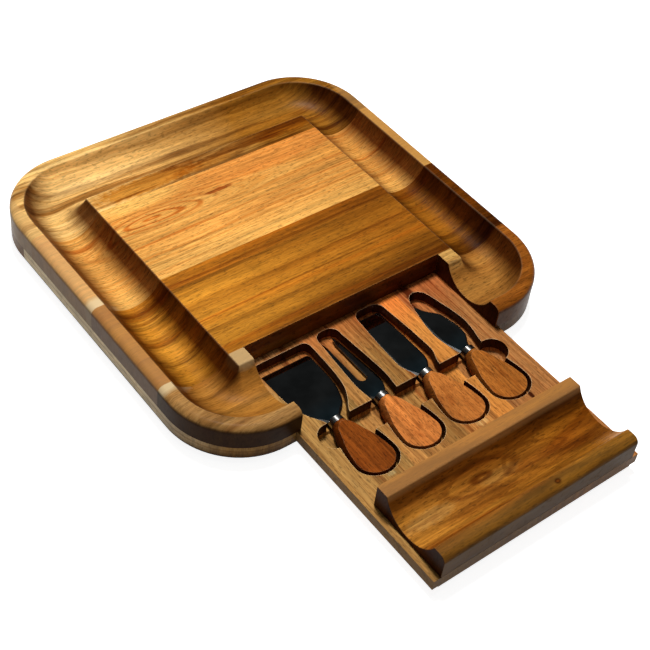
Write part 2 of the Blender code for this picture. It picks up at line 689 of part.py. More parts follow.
def main():
    clear_scene()
    parts = new_collection("cheese_board")
    cutters = new_collection("cutters")
    frame = {"parts": parts, "cutters": cutters}
    frame["board"] = empty("board_frame", (0, BOARD_PLACE, 0), parts)
    frame["drawer"] = empty("drawer_slide", (0, BOARD_PLACE - REST_OPENING, 0), parts)
    tools = tool_list()

    top_planks(frame, moat_cutter("moat_cutter", frame, frame["board"]))
    bottom_rails(frame)
    drawer_tray(frame, tools)
    trough_block(frame, moat_cutter("block_moat_cutter", frame, frame["drawer"]))
    for tool in tools:
        axis = (tool["side"], NECK_PLACE, TRAY_TOP - AXIS_DROP)
        tool["frame"] = empty(tool["name"] + "_lift", axis, parts, frame["drawer"])
        blade(tool, frame)
        ferrule(tool, frame)
        handle(tool, frame)
    bpy.context.view_layer.update()


main()
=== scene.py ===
# %% [markdown]
# # A wooden cheese board with a drawer of tools
#
# This lesson dresses a square acacia board. A moat runs round its raised middle, and a drawer
# slides out of its front with four small cheese tools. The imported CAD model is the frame: every
# piece made here stands where a solid of that model stands, and moves with the same body.

# %% Load the frame
import json
import math

import bmesh
import bpy
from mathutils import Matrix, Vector

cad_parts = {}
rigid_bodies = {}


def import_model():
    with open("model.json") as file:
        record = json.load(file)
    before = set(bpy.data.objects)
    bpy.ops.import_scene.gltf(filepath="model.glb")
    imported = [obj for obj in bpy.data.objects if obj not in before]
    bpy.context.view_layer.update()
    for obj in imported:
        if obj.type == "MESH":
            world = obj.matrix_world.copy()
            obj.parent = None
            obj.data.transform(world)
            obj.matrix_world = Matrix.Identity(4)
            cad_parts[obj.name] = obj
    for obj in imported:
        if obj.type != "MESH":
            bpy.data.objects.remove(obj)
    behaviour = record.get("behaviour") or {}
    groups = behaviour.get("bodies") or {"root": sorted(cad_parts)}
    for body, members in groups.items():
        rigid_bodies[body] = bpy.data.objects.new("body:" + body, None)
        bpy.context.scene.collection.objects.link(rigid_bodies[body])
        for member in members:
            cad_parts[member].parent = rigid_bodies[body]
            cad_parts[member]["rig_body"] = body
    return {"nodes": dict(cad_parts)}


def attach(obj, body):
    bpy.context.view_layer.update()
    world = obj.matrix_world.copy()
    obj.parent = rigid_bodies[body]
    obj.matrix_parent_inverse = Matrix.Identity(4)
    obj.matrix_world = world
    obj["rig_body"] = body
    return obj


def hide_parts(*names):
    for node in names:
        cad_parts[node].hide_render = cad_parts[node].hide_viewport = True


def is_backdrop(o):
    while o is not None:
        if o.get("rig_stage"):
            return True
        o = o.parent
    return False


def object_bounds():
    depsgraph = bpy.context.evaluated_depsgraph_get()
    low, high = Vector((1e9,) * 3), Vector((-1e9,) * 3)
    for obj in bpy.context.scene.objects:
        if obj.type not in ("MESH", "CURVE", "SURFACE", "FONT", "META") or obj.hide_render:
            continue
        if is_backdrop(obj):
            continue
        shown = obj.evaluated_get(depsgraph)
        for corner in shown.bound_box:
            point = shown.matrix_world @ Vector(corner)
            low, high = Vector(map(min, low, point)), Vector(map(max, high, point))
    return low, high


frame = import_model()
cad_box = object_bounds()
scene = bpy.context.scene

# %% [markdown]
# ## Camera
#
# The board is seen from its front left corner, well above it, with a fairly long lens and a
# slight roll. Its place and angles come from fitting the board's known corners to the picture.

# %% Camera at the picture's angle
camera_data = bpy.data.cameras.new("camera")
camera_data.sensor_width = 36
camera_data.lens = 75.262
camera_data.clip_start = 0.05
camera = bpy.data.objects.new("camera", camera_data)
camera.location = (-0.504889, -0.538823, 0.745530)
camera.rotation_euler = [math.radians(angle) for angle in (44.1339, -5.5457, -37.4548)]
scene.collection.objects.link(camera)
scene.camera = camera
print("lens", camera_data.lens, "mm")

# %% [markdown]
# ## Small helpers for shader nodes
#
# Materials here are built in code, so a few helpers keep that readable. They add a node with its
# values, a calculation, a colour mix, a changed range, a group or a whole material. A value that
# is a socket is linked, and any other value is typed into the socket.

# %% Node helpers
def feed(tree, socket, value):
    """Link a socket, or type the value in."""
    if isinstance(value, bpy.types.NodeSocket):
        tree.links.new(value, socket)
    elif socket.type == "RGBA" and len(value) == 3:
        socket.default_value = (*value, 1)
    else:
        socket.default_value = value


def add_node(tree, kind, settings=None, **inputs):
    """A shader node with its settings and inputs. Input names use _ for a space."""
    made = tree.nodes.new("ShaderNode" + kind)
    for name, value in (settings or {}).items():
        setattr(made, name, value)
    for name, value in inputs.items():
        feed(tree, made.inputs[name.replace("_", " ")], value)
    return made


def calc(tree, operation, *values):
    made = add_node(tree, "Math", {"operation": operation})
    for socket, value in zip(made.inputs, values):
        feed(tree, socket, value)
    return made.outputs[0]


def vector_calc(tree, operation, *values, output="Vector"):
    made = add_node(tree, "VectorMath", {"operation": operation})
    for socket, value in zip(made.inputs, values):
        feed(tree, socket, value)
    return made.outputs[output]


def blend_colours(tree, amount, first, second, kind="MIX"):
    """A Mix node has sockets for each kind of data. Colours go in at 6 and 7 and come out at 2."""
    made = add_node(tree, "Mix", {"data_type": "RGBA", "blend_type": kind})
    for index, value in ((0, amount), (6, first), (7, second)):
        feed(tree, made.inputs[index], value)
    return made.outputs[2]


def brighten(tree, colour, value):
    """The colour times one value, so that it gets lighter or darker and keeps its hue."""
    grey = add_node(tree, "CombineXYZ", {}, X=value, Y=value, Z=value).outputs[0]
    return blend_colours(tree, 1.0, colour, grey, "MULTIPLY")


def remap(tree, value, low, high, new_low=0.0, new_high=1.0):
    """Turn the range from low to high into the range from new_low to new_high."""
    return add_node(tree, "MapRange", {}, Value=value, From_Min=low, From_Max=high, To_Min=new_low,
                    To_Max=new_high).outputs[0]


def stretched(tree, vector, scale, place=(0, 0, 0)):
    """The same pattern place, stretched along each axis."""
    return add_node(tree, "Mapping", {}, Vector=vector, Location=place, Scale=scale).outputs[0]


def new_group(name, inputs, outputs):
    """A shader node group with named sockets."""
    group = bpy.data.node_groups.new(name, "ShaderNodeTree")
    for title, kind, value in inputs:
        socket = group.interface.new_socket(name=title, in_out="INPUT", socket_type="NodeSocket" + kind)
        if value is not None:
            socket.default_value = value
    for title, kind in outputs:
        group.interface.new_socket(name=title, in_out="OUTPUT", socket_type="NodeSocket" + kind)
    return group, group.nodes.new("NodeGroupInput"), group.nodes.new("NodeGroupOutput")


def new_material(name):
    made = bpy.data.materials.new(name)
    made.use_nodes = True
    return made, made.node_tree, made.node_tree.nodes["Principled BSDF"]


print("node helpers ready")

# %% [markdown]
# ## Floor and light
#
# The floor is plain and pale. It also glows a little for the camera and in what the steel
# mirrors, but not on the wood, so it looks near white and keeps the board's shadow. The main lamp
# is small, soft and almost straight above, a little to the back right, so that one wall of each
# recess stays in shade. Two weak wide lamps, one above and one at the front left, lighten that.

# %% Floor
FLOOR_SIZE, FLOOR_DROP = 6.0, 0.0005
FLOOR_TONE, FLOOR_GLOW = (0.7, 0.7, 0.69), 0.9
bpy.ops.object.select_all(action="DESELECT")
bpy.ops.mesh.primitive_plane_add(size=FLOOR_SIZE, location=(0, 0, -FLOOR_DROP))
floor = bpy.context.object
floor.name = "floor"
bpy.ops.object.transform_apply(location=True)
floor_material, tree, shader = new_material("pale_floor")
ray = add_node(tree, "LightPath").outputs
mirrored = calc(tree, "MAXIMUM", ray["Is Glossy Ray"], ray["Is Transmission Ray"])
seen = calc(tree, "MAXIMUM", ray["Is Camera Ray"], mirrored)
feed(tree, shader.inputs["Base Color"], FLOOR_TONE)
shader.inputs["Roughness"].default_value = 0.9
shader.inputs["Specular IOR Level"].default_value = 0.0
feed(tree, shader.inputs["Emission Color"], (1.0, 1.0, 1.0))
feed(tree, shader.inputs["Emission Strength"], calc(tree, "MULTIPLY", seen, FLOOR_GLOW))
floor.data.materials.append(floor_material)
floor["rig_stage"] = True
print("floor", FLOOR_SIZE, "m")

# %% Lamps and world
def soft_lamp(name, azimuth, elevation, distance, size, power):
    """Square lamp that points at the board, placed by its direction in degrees."""
    lamp = bpy.data.lights.new(name, "AREA")
    lamp.size = size
    lamp.energy = power
    made = bpy.data.objects.new(name, lamp)
    turn, lift = math.radians(azimuth), math.radians(elevation)
    aim = Vector((math.cos(turn) * math.cos(lift), math.sin(turn) * math.cos(lift), math.sin(lift)))
    made.location = aim * distance
    made.rotation_euler = aim.to_track_quat("Z", "Y").to_euler()
    scene.collection.objects.link(made)


soft_lamp("key_lamp", azimuth=65, elevation=77, distance=1.9, size=0.34, power=37)
soft_lamp("top_lamp", azimuth=190, elevation=82, distance=2.0, size=0.9, power=3)
soft_lamp("front_fill", azimuth=225, elevation=35, distance=2.4, size=1.4, power=0.4)
world = bpy.data.worlds.new("studio")
world.use_nodes = True
world.node_tree.nodes["Background"].inputs["Color"].default_value = (0.03, 0.031, 0.031, 1)
scene.world = world
scene.view_settings.view_transform = "Standard"

# %% [markdown]
# ## Acacia, as one node group
#
# A sawn board shows where the saw met the tree's rings. The group works the same way: it
# measures the distance to a heart line that bows up towards the face, so the rings come out as
# long lines with an oval figure where the line comes nearest. Broad bands of another tone,
# fine fibres and short dark pores lie over that, all drawn out along X.

# %% The acacia group
WOOD_INPUTS = [
    ("Vector", "Vector", None),
    ("Light", "Color", (0.7, 0.4, 0.15, 1)),
    ("Dark", "Color", (0.4, 0.18, 0.05, 1)),
    ("Streak", "Color", (0.25, 0.09, 0.02, 1)),
    ("Heart X", "Float", 0.0),
    ("Heart Y", "Float", 0.0),
    ("Heart Depth", "Float", 0.02),
    ("Bow", "Float", 1.5),
    ("Ring Width", "Float", 0.004),
    ("Ring Strength", "Float", 0.6),
    ("Streak Amount", "Float", 0.4),
    ("Streak Width", "Float", 0.03),
    ("Pore Amount", "Float", 0.5),
    ("Wander", "Float", 0.008),
]
acacia, given, result = new_group("acacia", WOOD_INPUTS, [("Color", "Color"), ("Roughness", "Float"),
                                                         ("Height", "Float")])
given = given.outputs
place = given["Vector"]


def grain_noise(stretch, detail, roughness=0.5, shift=(0, 0, 0)):
    """Noise drawn out along the grain. stretch says how fast it changes along X, Y and Z."""
    return add_node(acacia, "TexNoise", {}, Vector=stretched(acacia, place, stretch, shift), Scale=1.0,
                    Detail=detail, Roughness=roughness).outputs


def ring_noise(ring_place, detail, roughness):
    return add_node(acacia, "TexNoise", {"noise_dimensions": "1D"}, W=ring_place, Scale=1.0,
                    Detail=detail, Roughness=roughness).outputs["Fac"]


def stray(value):
    """How far the rings stray here, from a noise value between 0 and 1."""
    return calc(acacia, "MULTIPLY", calc(acacia, "SUBTRACT", value, 0.5), given["Wander"])


print("sockets", [socket.name for socket in given if socket.name])

# %% Rings round the heart line
TREMBLE = 0.003
BOW_LIMIT = 400.0
HEIGHT_SHARE = 0.25
wobble = add_node(acacia, "SeparateXYZ", {}, Vector=grain_noise((7, 22, 9), 3.0, 0.55)["Color"]).outputs
tremble = grain_noise((26, 90, 28), 2.0)["Fac"]
axes = add_node(acacia, "SeparateXYZ", {}, Vector=place).outputs
along = calc(acacia, "SUBTRACT", axes["X"], given["Heart X"])
along = calc(acacia, "MULTIPLY", along, along)
bowed = calc(acacia, "DIVIDE", calc(acacia, "MULTIPLY", along, given["Bow"]),
             calc(acacia, "MULTIPLY_ADD", along, BOW_LIMIT, 1.0))
sideways = calc(acacia, "SUBTRACT", axes["Y"], given["Heart Y"])
sideways = calc(acacia, "ADD", sideways, calc(acacia, "MULTIPLY_ADD", tremble, TREMBLE, -TREMBLE / 2))
sideways = calc(acacia, "ADD", sideways, stray(wobble["X"]))
below = calc(acacia, "SUBTRACT", given["Heart Depth"], calc(acacia, "MULTIPLY", axes["Z"], HEIGHT_SHARE))
below = calc(acacia, "ADD", calc(acacia, "ADD", below, bowed), stray(wobble["Y"]))
radius = calc(acacia, "SQRT", calc(acacia, "ADD", calc(acacia, "MULTIPLY", sideways, sideways),
                                   calc(acacia, "MULTIPLY", below, below)))
ring_place = calc(acacia, "DIVIDE", radius, given["Ring Width"])
wide_rings = remap(acacia, ring_noise(ring_place, 3.5, 0.62), 0.4, 0.68, 0.0, 0.8)
late_place = calc(acacia, "MULTIPLY_ADD", ring_place, 2.1, 17.0)
thin_rings = remap(acacia, ring_noise(late_place, 2.0, 0.7), 0.56, 0.66, 0.0, 0.75)
ring_mask = calc(acacia, "MULTIPLY", calc(acacia, "MAXIMUM", wide_rings, thin_rings),
                 given["Ring Strength"])
print("rings laid out")

# %% Bands, fibres and pores
band_width = given["Streak Width"]
band_place = add_node(acacia, "CombineXYZ", {}, X=calc(acacia, "MULTIPLY", axes["X"], 2.2),
                      Y=calc(acacia, "DIVIDE", sideways, band_width),
                      Z=calc(acacia, "DIVIDE", calc(acacia, "MULTIPLY", below, 0.5), band_width))
broad = add_node(acacia, "TexNoise", {}, Vector=band_place.outputs[0], Scale=1.0, Detail=2.0, Roughness=0.5,
                 Distortion=0.6).outputs["Fac"]
band_mask = calc(acacia, "MULTIPLY", remap(acacia, broad, 0.52, 0.7), given["Streak Amount"])
thread_mask = remap(acacia, grain_noise((2.5, 210, 22), 2.0)["Fac"], 0.56, 0.66, 0.0, 0.26)
lines = grain_noise((14, 420, 50), 3.0, 0.6)["Fac"]
fibres = grain_noise((70, 1000, 200), 2.0, 0.7)["Fac"]
pores = grain_noise((210, 1150, 260), 1.0, shift=(3, 7, 5))["Fac"]
patches = grain_noise((9, 30, 10), 2.0, shift=(1, 2, 3))["Fac"]
pore_mask = calc(acacia, "MULTIPLY", remap(acacia, pores, 0.58, 0.66), given["Pore Amount"])
tone = blend_colours(acacia, ring_mask, given["Light"], given["Dark"])
tone = blend_colours(acacia, band_mask, tone, given["Streak"])
value = remap(acacia, lines, 0.3, 0.7, 0.8, 1.18)
for factor in (remap(acacia, fibres, 0.3, 0.7, 0.78, 1.2), remap(acacia, patches, 0.3, 0.7, 0.84, 1.14),
               calc(acacia, "SUBTRACT", 1.0, pore_mask), calc(acacia, "SUBTRACT", 1.0, thread_mask)):
    value = calc(acacia, "MULTIPLY", value, factor)
feed(acacia, result.inputs["Color"], brighten(acacia, tone, value))
feed(acacia, result.inputs["Roughness"],
     calc(acacia, "MULTIPLY_ADD", pore_mask, 0.2, remap(acacia, fibres, 0.3, 0.7, 0.3, 0.42)))
feed(acacia, result.inputs["Height"],
     calc(acacia, "SUBTRACT", calc(acacia, "MULTIPLY", fibres, 0.5), pore_mask))
print("acacia nodes", len(acacia.nodes))

# %% [markdown]
# ## Tones that change over a piece
#
# No plank is one colour from end to end. Sapwood fades into heartwood, knots and ovals stand
# where a branch grew, and the saw leaves another tone on each side. Every such change is one
# node group: it takes a place and a colour, and gives the colour back changed, so each material
# can use it with values of its own. Places are in metres on the object itself.

# %% What the tone groups share
AXES = {"X": (1, 0, 0), "Y": (0, 1, 0), "Z": (0, 0, 1)}


def tone_group(name, inputs):
    """A group that gets a place, a colour and a shade, and gives the changed colour."""
    shared = [("Vector", "Vector"), ("Color", "Color"), ("Shade", "Color")]
    sockets = [(title, kind, None) for title, kind in shared + inputs]
    group, given, result = new_group(name, sockets, [("Color", "Color")])
    return group, given.outputs, result.inputs["Color"]


def place_group(tree, group, **inputs):
    """A node of a group with its inputs. Input names use _ for a space."""
    made = tree.nodes.new("ShaderNodeGroup")
    made.node_tree = group
    for name, value in inputs.items():
        feed(tree, made.inputs[name.replace("_", " ")], value)
    return made


def using(group, **values):
    """A step that a material can take: one tone group, with this material's own values."""
    def apply(tree, place, colour):
        return place_group(tree, group, Vector=place, Color=colour, **values).outputs["Color"]
    return apply


def along_axis(tree, place, axis):
    return vector_calc(tree, "DOT_PRODUCT", place, axis, output="Value")


def length_of(tree, vector):
    return vector_calc(tree, "LENGTH", vector, output="Value")


def unevenly(tree, place, scale, amount, value):
    """A value that wavers by an amount to both sides, from place to place."""
    noise = add_node(tree, "TexNoise", {}, Vector=place, Scale=scale, Detail=3.0).outputs["Fac"]
    reach = calc(tree, "MULTIPLY", amount, 2.0)
    return calc(tree, "MULTIPLY_ADD", calc(tree, "SUBTRACT", noise, 0.5), reach, value)


def tint(tree, colour, amount, shade, cover=None):
    """Multiply a colour by a shade where amount is 1. A cover above 0 lays the shade over it."""
    multiplied = blend_colours(tree, 1.0, colour, shade, "MULTIPLY")
    if cover is None:
        return blend_colours(tree, amount, colour, multiplied)
    covers = calc(tree, "GREATER_THAN", cover, 0.0)
    share = calc(tree, "ADD", calc(tree, "SUBTRACT", 1.0, covers), cover)
    return blend_colours(tree, calc(tree, "MULTIPLY", amount, share), colour,
                         blend_colours(tree, covers, multiplied, shade))


print("axes", sorted(AXES))

# %% Fades and bands
SPAN = [("Axis", "Vector"), ("Start", "Float"), ("Stop", "Float")]
fade_group, source, changed = tone_group("fade", SPAN)
amount = remap(fade_group, along_axis(fade_group, source["Vector"], source["Axis"]), source["Start"],
               source["Stop"])
feed(fade_group, changed, tint(fade_group, source["Color"], amount, source["Shade"]))

band_group, source, changed = tone_group("band", SPAN + [("Soft", "Float"), ("Waver", "Float"),
                                                         ("Cover", "Float")])
where = unevenly(band_group, source["Vector"], scale=18.0, amount=source["Waver"],
                 value=along_axis(band_group, source["Vector"], source["Axis"]))
edges = [remap(band_group, where, calc(band_group, first, source[end], source["Soft"]),
               calc(band_group, second, source[end], source["Soft"]))
         for end, first, second in (("Start", "SUBTRACT", "ADD"), ("Stop", "ADD", "SUBTRACT"))]
feed(band_group, changed, tint(band_group, source["Color"], calc(band_group, "MULTIPLY", *edges),
                               source["Shade"], source["Cover"]))


def fade(axis, start, stop, shade):
    """A tone that grows along one axis, from its start to its stop in metres."""
    return using(fade_group, Axis=AXES[axis], Start=start, Stop=stop, Shade=shade)


def band(axis, start, stop, soft, shade, waver=0.004, cover=0.0):
    """A band of another tone between two places on an axis, with soft and slightly wavy edges."""
    return using(band_group, Axis=AXES[axis], Start=start, Stop=stop, Soft=soft, Waver=waver, Cover=cover,
                 Shade=shade)


print("band sockets", [socket.name for socket in source if socket.name])

# %% Spots, streaks and ovals
spot_group, source, changed = tone_group("spot", [("Centre", "Vector"), ("Radii", "Vector"),
                                                  ("Ragged", "Float"), ("Cover", "Float")])
local = vector_calc(spot_group, "SUBTRACT", source["Vector"], source["Centre"])
distance = length_of(spot_group, vector_calc(spot_group, "DIVIDE", local, source["Radii"]))
distance = unevenly(spot_group, source["Vector"], scale=240.0, amount=source["Ragged"], value=distance)
feed(spot_group, changed, tint(spot_group, source["Color"], remap(spot_group, distance, 1.1, 0.6),
                               source["Shade"], source["Cover"]))

streak_group, source, changed = tone_group("streaks", [
    ("Stretch", "Vector"), ("Shift", "Vector"), ("Low", "Float"), ("High", "Float"), ("Swirl", "Float")])
where = stretched(streak_group, source["Vector"], source["Stretch"], source["Shift"])
noise = add_node(streak_group, "TexNoise", {}, Vector=where, Scale=1.0, Detail=3.0, Roughness=0.6,
                 Distortion=source["Swirl"])
amount = remap(streak_group, noise.outputs["Fac"], source["Low"], source["High"])
feed(streak_group, changed, tint(streak_group, source["Color"], amount, source["Shade"]))

RIPPLE = 0.8
oval_group, source, changed = tone_group("oval", [("Centre", "Vector"), ("Radii", "Vector"),
                                                  ("Line Rate", "Float"), ("Reach", "Float")])
local = vector_calc(oval_group, "SUBTRACT", source["Vector"], source["Centre"])
local = vector_calc(oval_group, "DIVIDE", local, source["Radii"])
noise = add_node(oval_group, "TexNoise", {}, Scale=1.0, Detail=2.0,
                 Vector=stretched(oval_group, source["Vector"], (16, 45, 16))).outputs["Color"]
noise = vector_calc(oval_group, "MULTIPLY_ADD", noise, (2 * RIPPLE, 2 * RIPPLE, 0), (-RIPPLE, -RIPPLE, 0))
local = vector_calc(oval_group, "MULTIPLY", vector_calc(oval_group, "ADD", local, noise), (1, 1, 0))
distance = length_of(oval_group, local)
line = calc(oval_group, "SINE", calc(oval_group, "MULTIPLY", distance, source["Line Rate"]))
full_reach = calc(oval_group, "MULTIPLY", source["Reach"], 0.4)
near_middle = remap(oval_group, distance, source["Reach"], full_reach)
amount = calc(oval_group, "MULTIPLY", remap(oval_group, line, 0.1, 0.95), near_middle)
feed(oval_group, changed, tint(oval_group, source["Color"], amount, source["Shade"]))


def spot(centre, radii, shade, ragged=0.35, cover=0.0):
    """A knot or a patch of another tone, with an uneven edge."""
    return using(spot_group, Centre=centre, Radii=radii, Ragged=ragged, Cover=cover, Shade=shade)


def streaks(stretch, shade, low=0.52, high=0.64, shift=(0, 0, 0), swirl=0.4):
    """Long streaks of another tone. stretch says how fast they change along X, Y and Z."""
    return using(streak_group, Stretch=stretch, Shift=shift, Low=low, High=high, Swirl=swirl, Shade=shade)


def oval(centre, radii, shade, rings=3.0, reach=3.0):
    """Ring lines that close into an oval, where a saw cut grazes the rings of the tree."""
    return using(oval_group, Centre=centre, Radii=(*radii, 1), Line_Rate=2 * math.pi * rings / reach,
                 Reach=reach, Shade=shade)


print("oval sockets", [socket.name for socket in source if socket.name])

# %% [markdown]
# ## Tones that follow the board's outline
#
# The flat rim and the upright outer side have tones of their own, because the saw crossed the
# grain there. Both are found from how deep a point lies inside the rounded outline, so the
# outline's sizes come first.

# %% Rim and outer side
BOARD_WIDTH, BOARD_DEPTH = 0.330, 0.327
BOARD_MIDDLE = 0.07375
CORNER_RADIUS = 0.060
RIM_WIDTH = 0.0115
RIM_FADE = (RIM_WIDTH + 0.001, RIM_WIDTH - 0.0005)
SIDE_FADE = (0.0009, 0.0001)


def depth_inside(tree, place):
    """How far a point lies inside the board's outline, in metres, up to the corners' radius."""
    straight = (BOARD_WIDTH / 2 - CORNER_RADIUS, BOARD_DEPTH / 2 - CORNER_RADIUS, 0)
    beyond = vector_calc(tree, "ABSOLUTE", vector_calc(tree, "SUBTRACT", place, (0, BOARD_MIDDLE, 0)))
    beyond = vector_calc(tree, "MAXIMUM", vector_calc(tree, "SUBTRACT", beyond, straight), (0, 0, 0))
    beyond = vector_calc(tree, "MULTIPLY", beyond, (1, 1, 0))
    return calc(tree, "SUBTRACT", CORNER_RADIUS, length_of(tree, beyond))


rim_group, source, changed = tone_group("rim_tone", [])
amount = remap(rim_group, depth_inside(rim_group, source["Vector"]), *RIM_FADE)
feed(rim_group, changed, tint(rim_group, source["Color"], amount, source["Shade"]))

side_group, source, changed = tone_group("outer_side", [("Amount", "Float")])
noise = add_node(side_group, "TexNoise", {}, Scale=1.0, Detail=4.0, Roughness=0.65,
                 Vector=stretched(side_group, source["Vector"], (160, 160, 90))).outputs["Fac"]
flecked = brighten(side_group, source["Shade"], remap(side_group, noise, 0.3, 0.7, 0.72, 1.28))
amount = remap(side_group, depth_inside(side_group, source["Vector"]), *SIDE_FADE, 0.0, source["Amount"])
feed(side_group, changed, blend_colours(side_group, amount, source["Color"], flecked))


def on_rim(shade):
    """Another tone on the flat rim, where the saw met the wood at a different height."""
    return using(rim_group, Shade=shade)


def outside(shade, amount=0.85):
    """End grain with fine flecks on the board's upright outer side, darkened further where shade is painted.
    """
    return using(side_group, Shade=shade, Amount=amount)


print("outline", BOARD_WIDTH, BOARD_DEPTH, "corners", CORNER_RADIUS)

# %% [markdown]
# ## Sawn ends with painted shade, worn edges with painted highlight
#
# Two more groups serve every piece of wood. Where a cutter went across the fibres the oil sinks
# in and the wood turns dark. The same darkening also paints shade: on the upright walls inside
# the tray, on the moat's walls that face along X, and on the sides of the handles. Where a hand
# has sanded an edge the oil is thin and the wood stays light, and these light edges also carry a
# painted highlight. The pieces themselves remember where that is, in two attributes.

# %% Sawn ends with painted shade, worn edges with painted highlight
# Sawn ends turn darker, and the same darkening paints shade on walls and sides that stand in shade
ends_shade_group, given, result = new_group("sawn_ends_shade", [
    ("Color", "Color", None), ("Mask", "Float", 0.0), ("Shade", "Color", (0.17, 0.1, 0.07, 1))],
    [("Color", "Color")])
source = given.outputs
feed(ends_shade_group, result.inputs["Color"],
     tint(ends_shade_group, source["Color"], source["Mask"], source["Shade"]))

# Worn edges turn lighter, and the same lightening paints a highlight on narrow edges
wear_glint_group, given, result = new_group("edge_wear_glint", [
    ("Color", "Color", None), ("Mask", "Float", 0.0), ("Wear", "Float", 0.0),
    ("Shade", "Color", (0.6, 0.4, 0.23, 1))], [("Color", "Color")])
source = given.outputs
amount = calc(wear_glint_group, "MULTIPLY", source["Mask"], source["Wear"])
feed(wear_glint_group, result.inputs["Color"],
     blend_colours(wear_glint_group, amount, source["Color"], source["Shade"], "SCREEN"))
print("groups", sorted(group.name for group in bpy.data.node_groups))

# %% [markdown]
# ## One material for each piece of wood
#
# Every plank came from another part of a tree, so each has its own tones, its own heart line
# and its own streaks. The grain runs along X in the planks and the trough block, and along Y in
# the tray, the runners and the tools' handles.

# %% Wood materials
BUMP_REACH = 0.0002


def mask_of(tree, name):
    return add_node(tree, "Attribute", {"attribute_name": name}).outputs["Fac"]


def wood(name, light, dark, streak, heart, rings=(0.004, 0.6), bands=(0.4, 0.03), pores=0.45, turned=False,
         tones=(), wander=0.007, gloss=0.045, fine=1.0, wear_glint=0.06):
    """An oiled acacia finish. heart is (x, y, depth, bow) of the nearest ring line."""
    made, tree, shader = new_material(name)
    place = add_node(tree, "TexCoord").outputs["Object"]
    along_grain = place
    if turned:
        along_grain = add_node(tree, "Mapping", {}, Vector=place, Rotation=(0, 0, math.radians(-90)),
                               Scale=(fine, fine, fine)).outputs[0]
    grain = place_group(tree, acacia, Vector=along_grain, Light=light, Dark=dark, Streak=streak,
                        Heart_X=heart[0], Heart_Y=heart[1], Heart_Depth=heart[2], Bow=heart[3],
                        Ring_Width=rings[0], Ring_Strength=rings[1], Streak_Amount=bands[0],
                        Streak_Width=bands[1], Pore_Amount=pores, Wander=wander)
    colour = grain.outputs["Color"]
    for apply in tones:
        colour = apply(tree, place, colour)
    # Darker where the mask marks end grain and where shade is painted on walls and sides
    colour = place_group(tree, ends_shade_group, Color=colour, Mask=mask_of(tree, "end_grain_shade")).outputs["Color"]
    # Lighter on worn edges, which also carry a painted highlight
    colour = place_group(tree, wear_glint_group, Color=colour, Mask=mask_of(tree, "worn_glint"),
                         Wear=wear_glint).outputs["Color"]
    feed(tree, shader.inputs["Base Color"], colour)
    feed(tree, shader.inputs["Roughness"], grain.outputs["Roughness"])
    shader.inputs["Specular IOR Level"].default_value = gloss
    bump = add_node(tree, "Bump", {}, Strength=0.35, Distance=BUMP_REACH, Height=grain.outputs["Height"])
    feed(tree, shader.inputs["Normal"], bump.outputs["Normal"])
    return made


print("bump reach", BUMP_REACH)

# %% [markdown]
# ## Finishes of the board
#
# The planks of the real board differ: a golden one at the back, a honey one with an oval figure,
# a brown one in front of it, and corners that are pale on top and dark outside. Each list of
# tones goes from the broad changes to the small ones, so that a knot or a glued strip lies over
# the figure. The rim shows sawn ends at the left and the right, in strips of another tone.

# %% Finishes of the planks
RIM_REACH, RIM_SOFT = 0.17, 0.001


def rim_strip(side, inner, shade, cover=0.0):
    """A tone on the rim at one end of a plank, from its inner edge outwards. side is -1 or 1."""
    start, stop = sorted((side * inner, side * RIM_REACH))
    return band("X", start, stop, RIM_SOFT, shade, waver=RIM_SOFT, cover=cover)


finishes = {}
# The planks grow darker towards the right: partly the wood's tone, partly painted shade where the light
# falls off
finishes["back_plank"] = wood(
    "golden_acacia", (1.0, 0.6, 0.19), (0.62, 0.27, 0.045), (0.17, 0.05, 0.006),
    heart=(0.02, 0.19, 0.03, 1.0), rings=(0.006, 0.8), bands=(0.7, 0.011),
    tones=[fade("X", 0.0, -0.08, (1.1, 1.16, 1.28)), fade("X", -0.07, 0.06, (0.38, 0.26, 0.09)),
           streaks((5, 60, 12), (0.45, 0.32, 0.2), low=0.52, high=0.64, shift=(1, 0, 0), swirl=1.0),
           rim_strip(-1, 0.1545, (0.62, 0.36, 0.13), cover=0.55),
           rim_strip(1, 0.154, (0.42, 0.22, 0.07), cover=0.5),
           spot((0.09, 0.172, 0.036), (0.05, 0.01, 0.02), (0.8, 0.6, 0.3)),
           spot((-0.055, 0.169, 0.036), (0.062, 0.012, 0.007), (0.66, 0.43, 0.17)),
           spot((0.0, 0.166, 0.036), (0.04, 0.0065, 0.008), (0.76, 0.58, 0.34)),
           outside((0.17, 0.105, 0.06))], pores=0.3)
finishes["upper_middle_plank"] = wood(
    "honey_acacia", (0.86, 0.42, 0.095), (0.67, 0.24, 0.034), (0.48, 0.13, 0.014),
    heart=(-0.066, 0.128, 0.0185, 4.0), rings=(0.0026, 0.8), bands=(0.4, 0.009),
    tones=[fade("X", -0.02, 0.16, (0.8, 0.76, 0.72)),
           oval((-0.072, 0.131, 0), (0.017, 0.0036), (0.72, 0.42, 0.25), rings=4.0, reach=4.2),
           spot((0.05, 0.152, 0.036), (0.1, 0.02, 0.03), (0.97, 0.8, 0.72)),
           spot((-0.075, 0.154, 0.036), (0.045, 0.008, 0.03), (1.08, 1.25, 1.4)),
           band("Y", 0.06, 0.086, 0.004, (1.04, 1.14, 1.25)),
           streaks((2.5, 90, 20), (0.72, 0.5, 0.35), low=0.6, high=0.68, shift=(4, 0, 0)),
           spot((-0.012, 0.134, 0.036), (0.016, 0.0022, 0.02), (0.5, 0.28, 0.2)),
           rim_strip(-1, 0.1535, (0.66, 0.37, 0.15), cover=0.7),
           rim_strip(1, 0.153, (0.48, 0.24, 0.06), cover=0.75),
           spot((-0.16, 0.0725, 0.036), (0.02, 0.0085, 0.03), (0.78, 0.6, 0.34), ragged=0.25, cover=0.8),
           outside((0.13, 0.072, 0.03))], wander=0.004, pores=0.38)
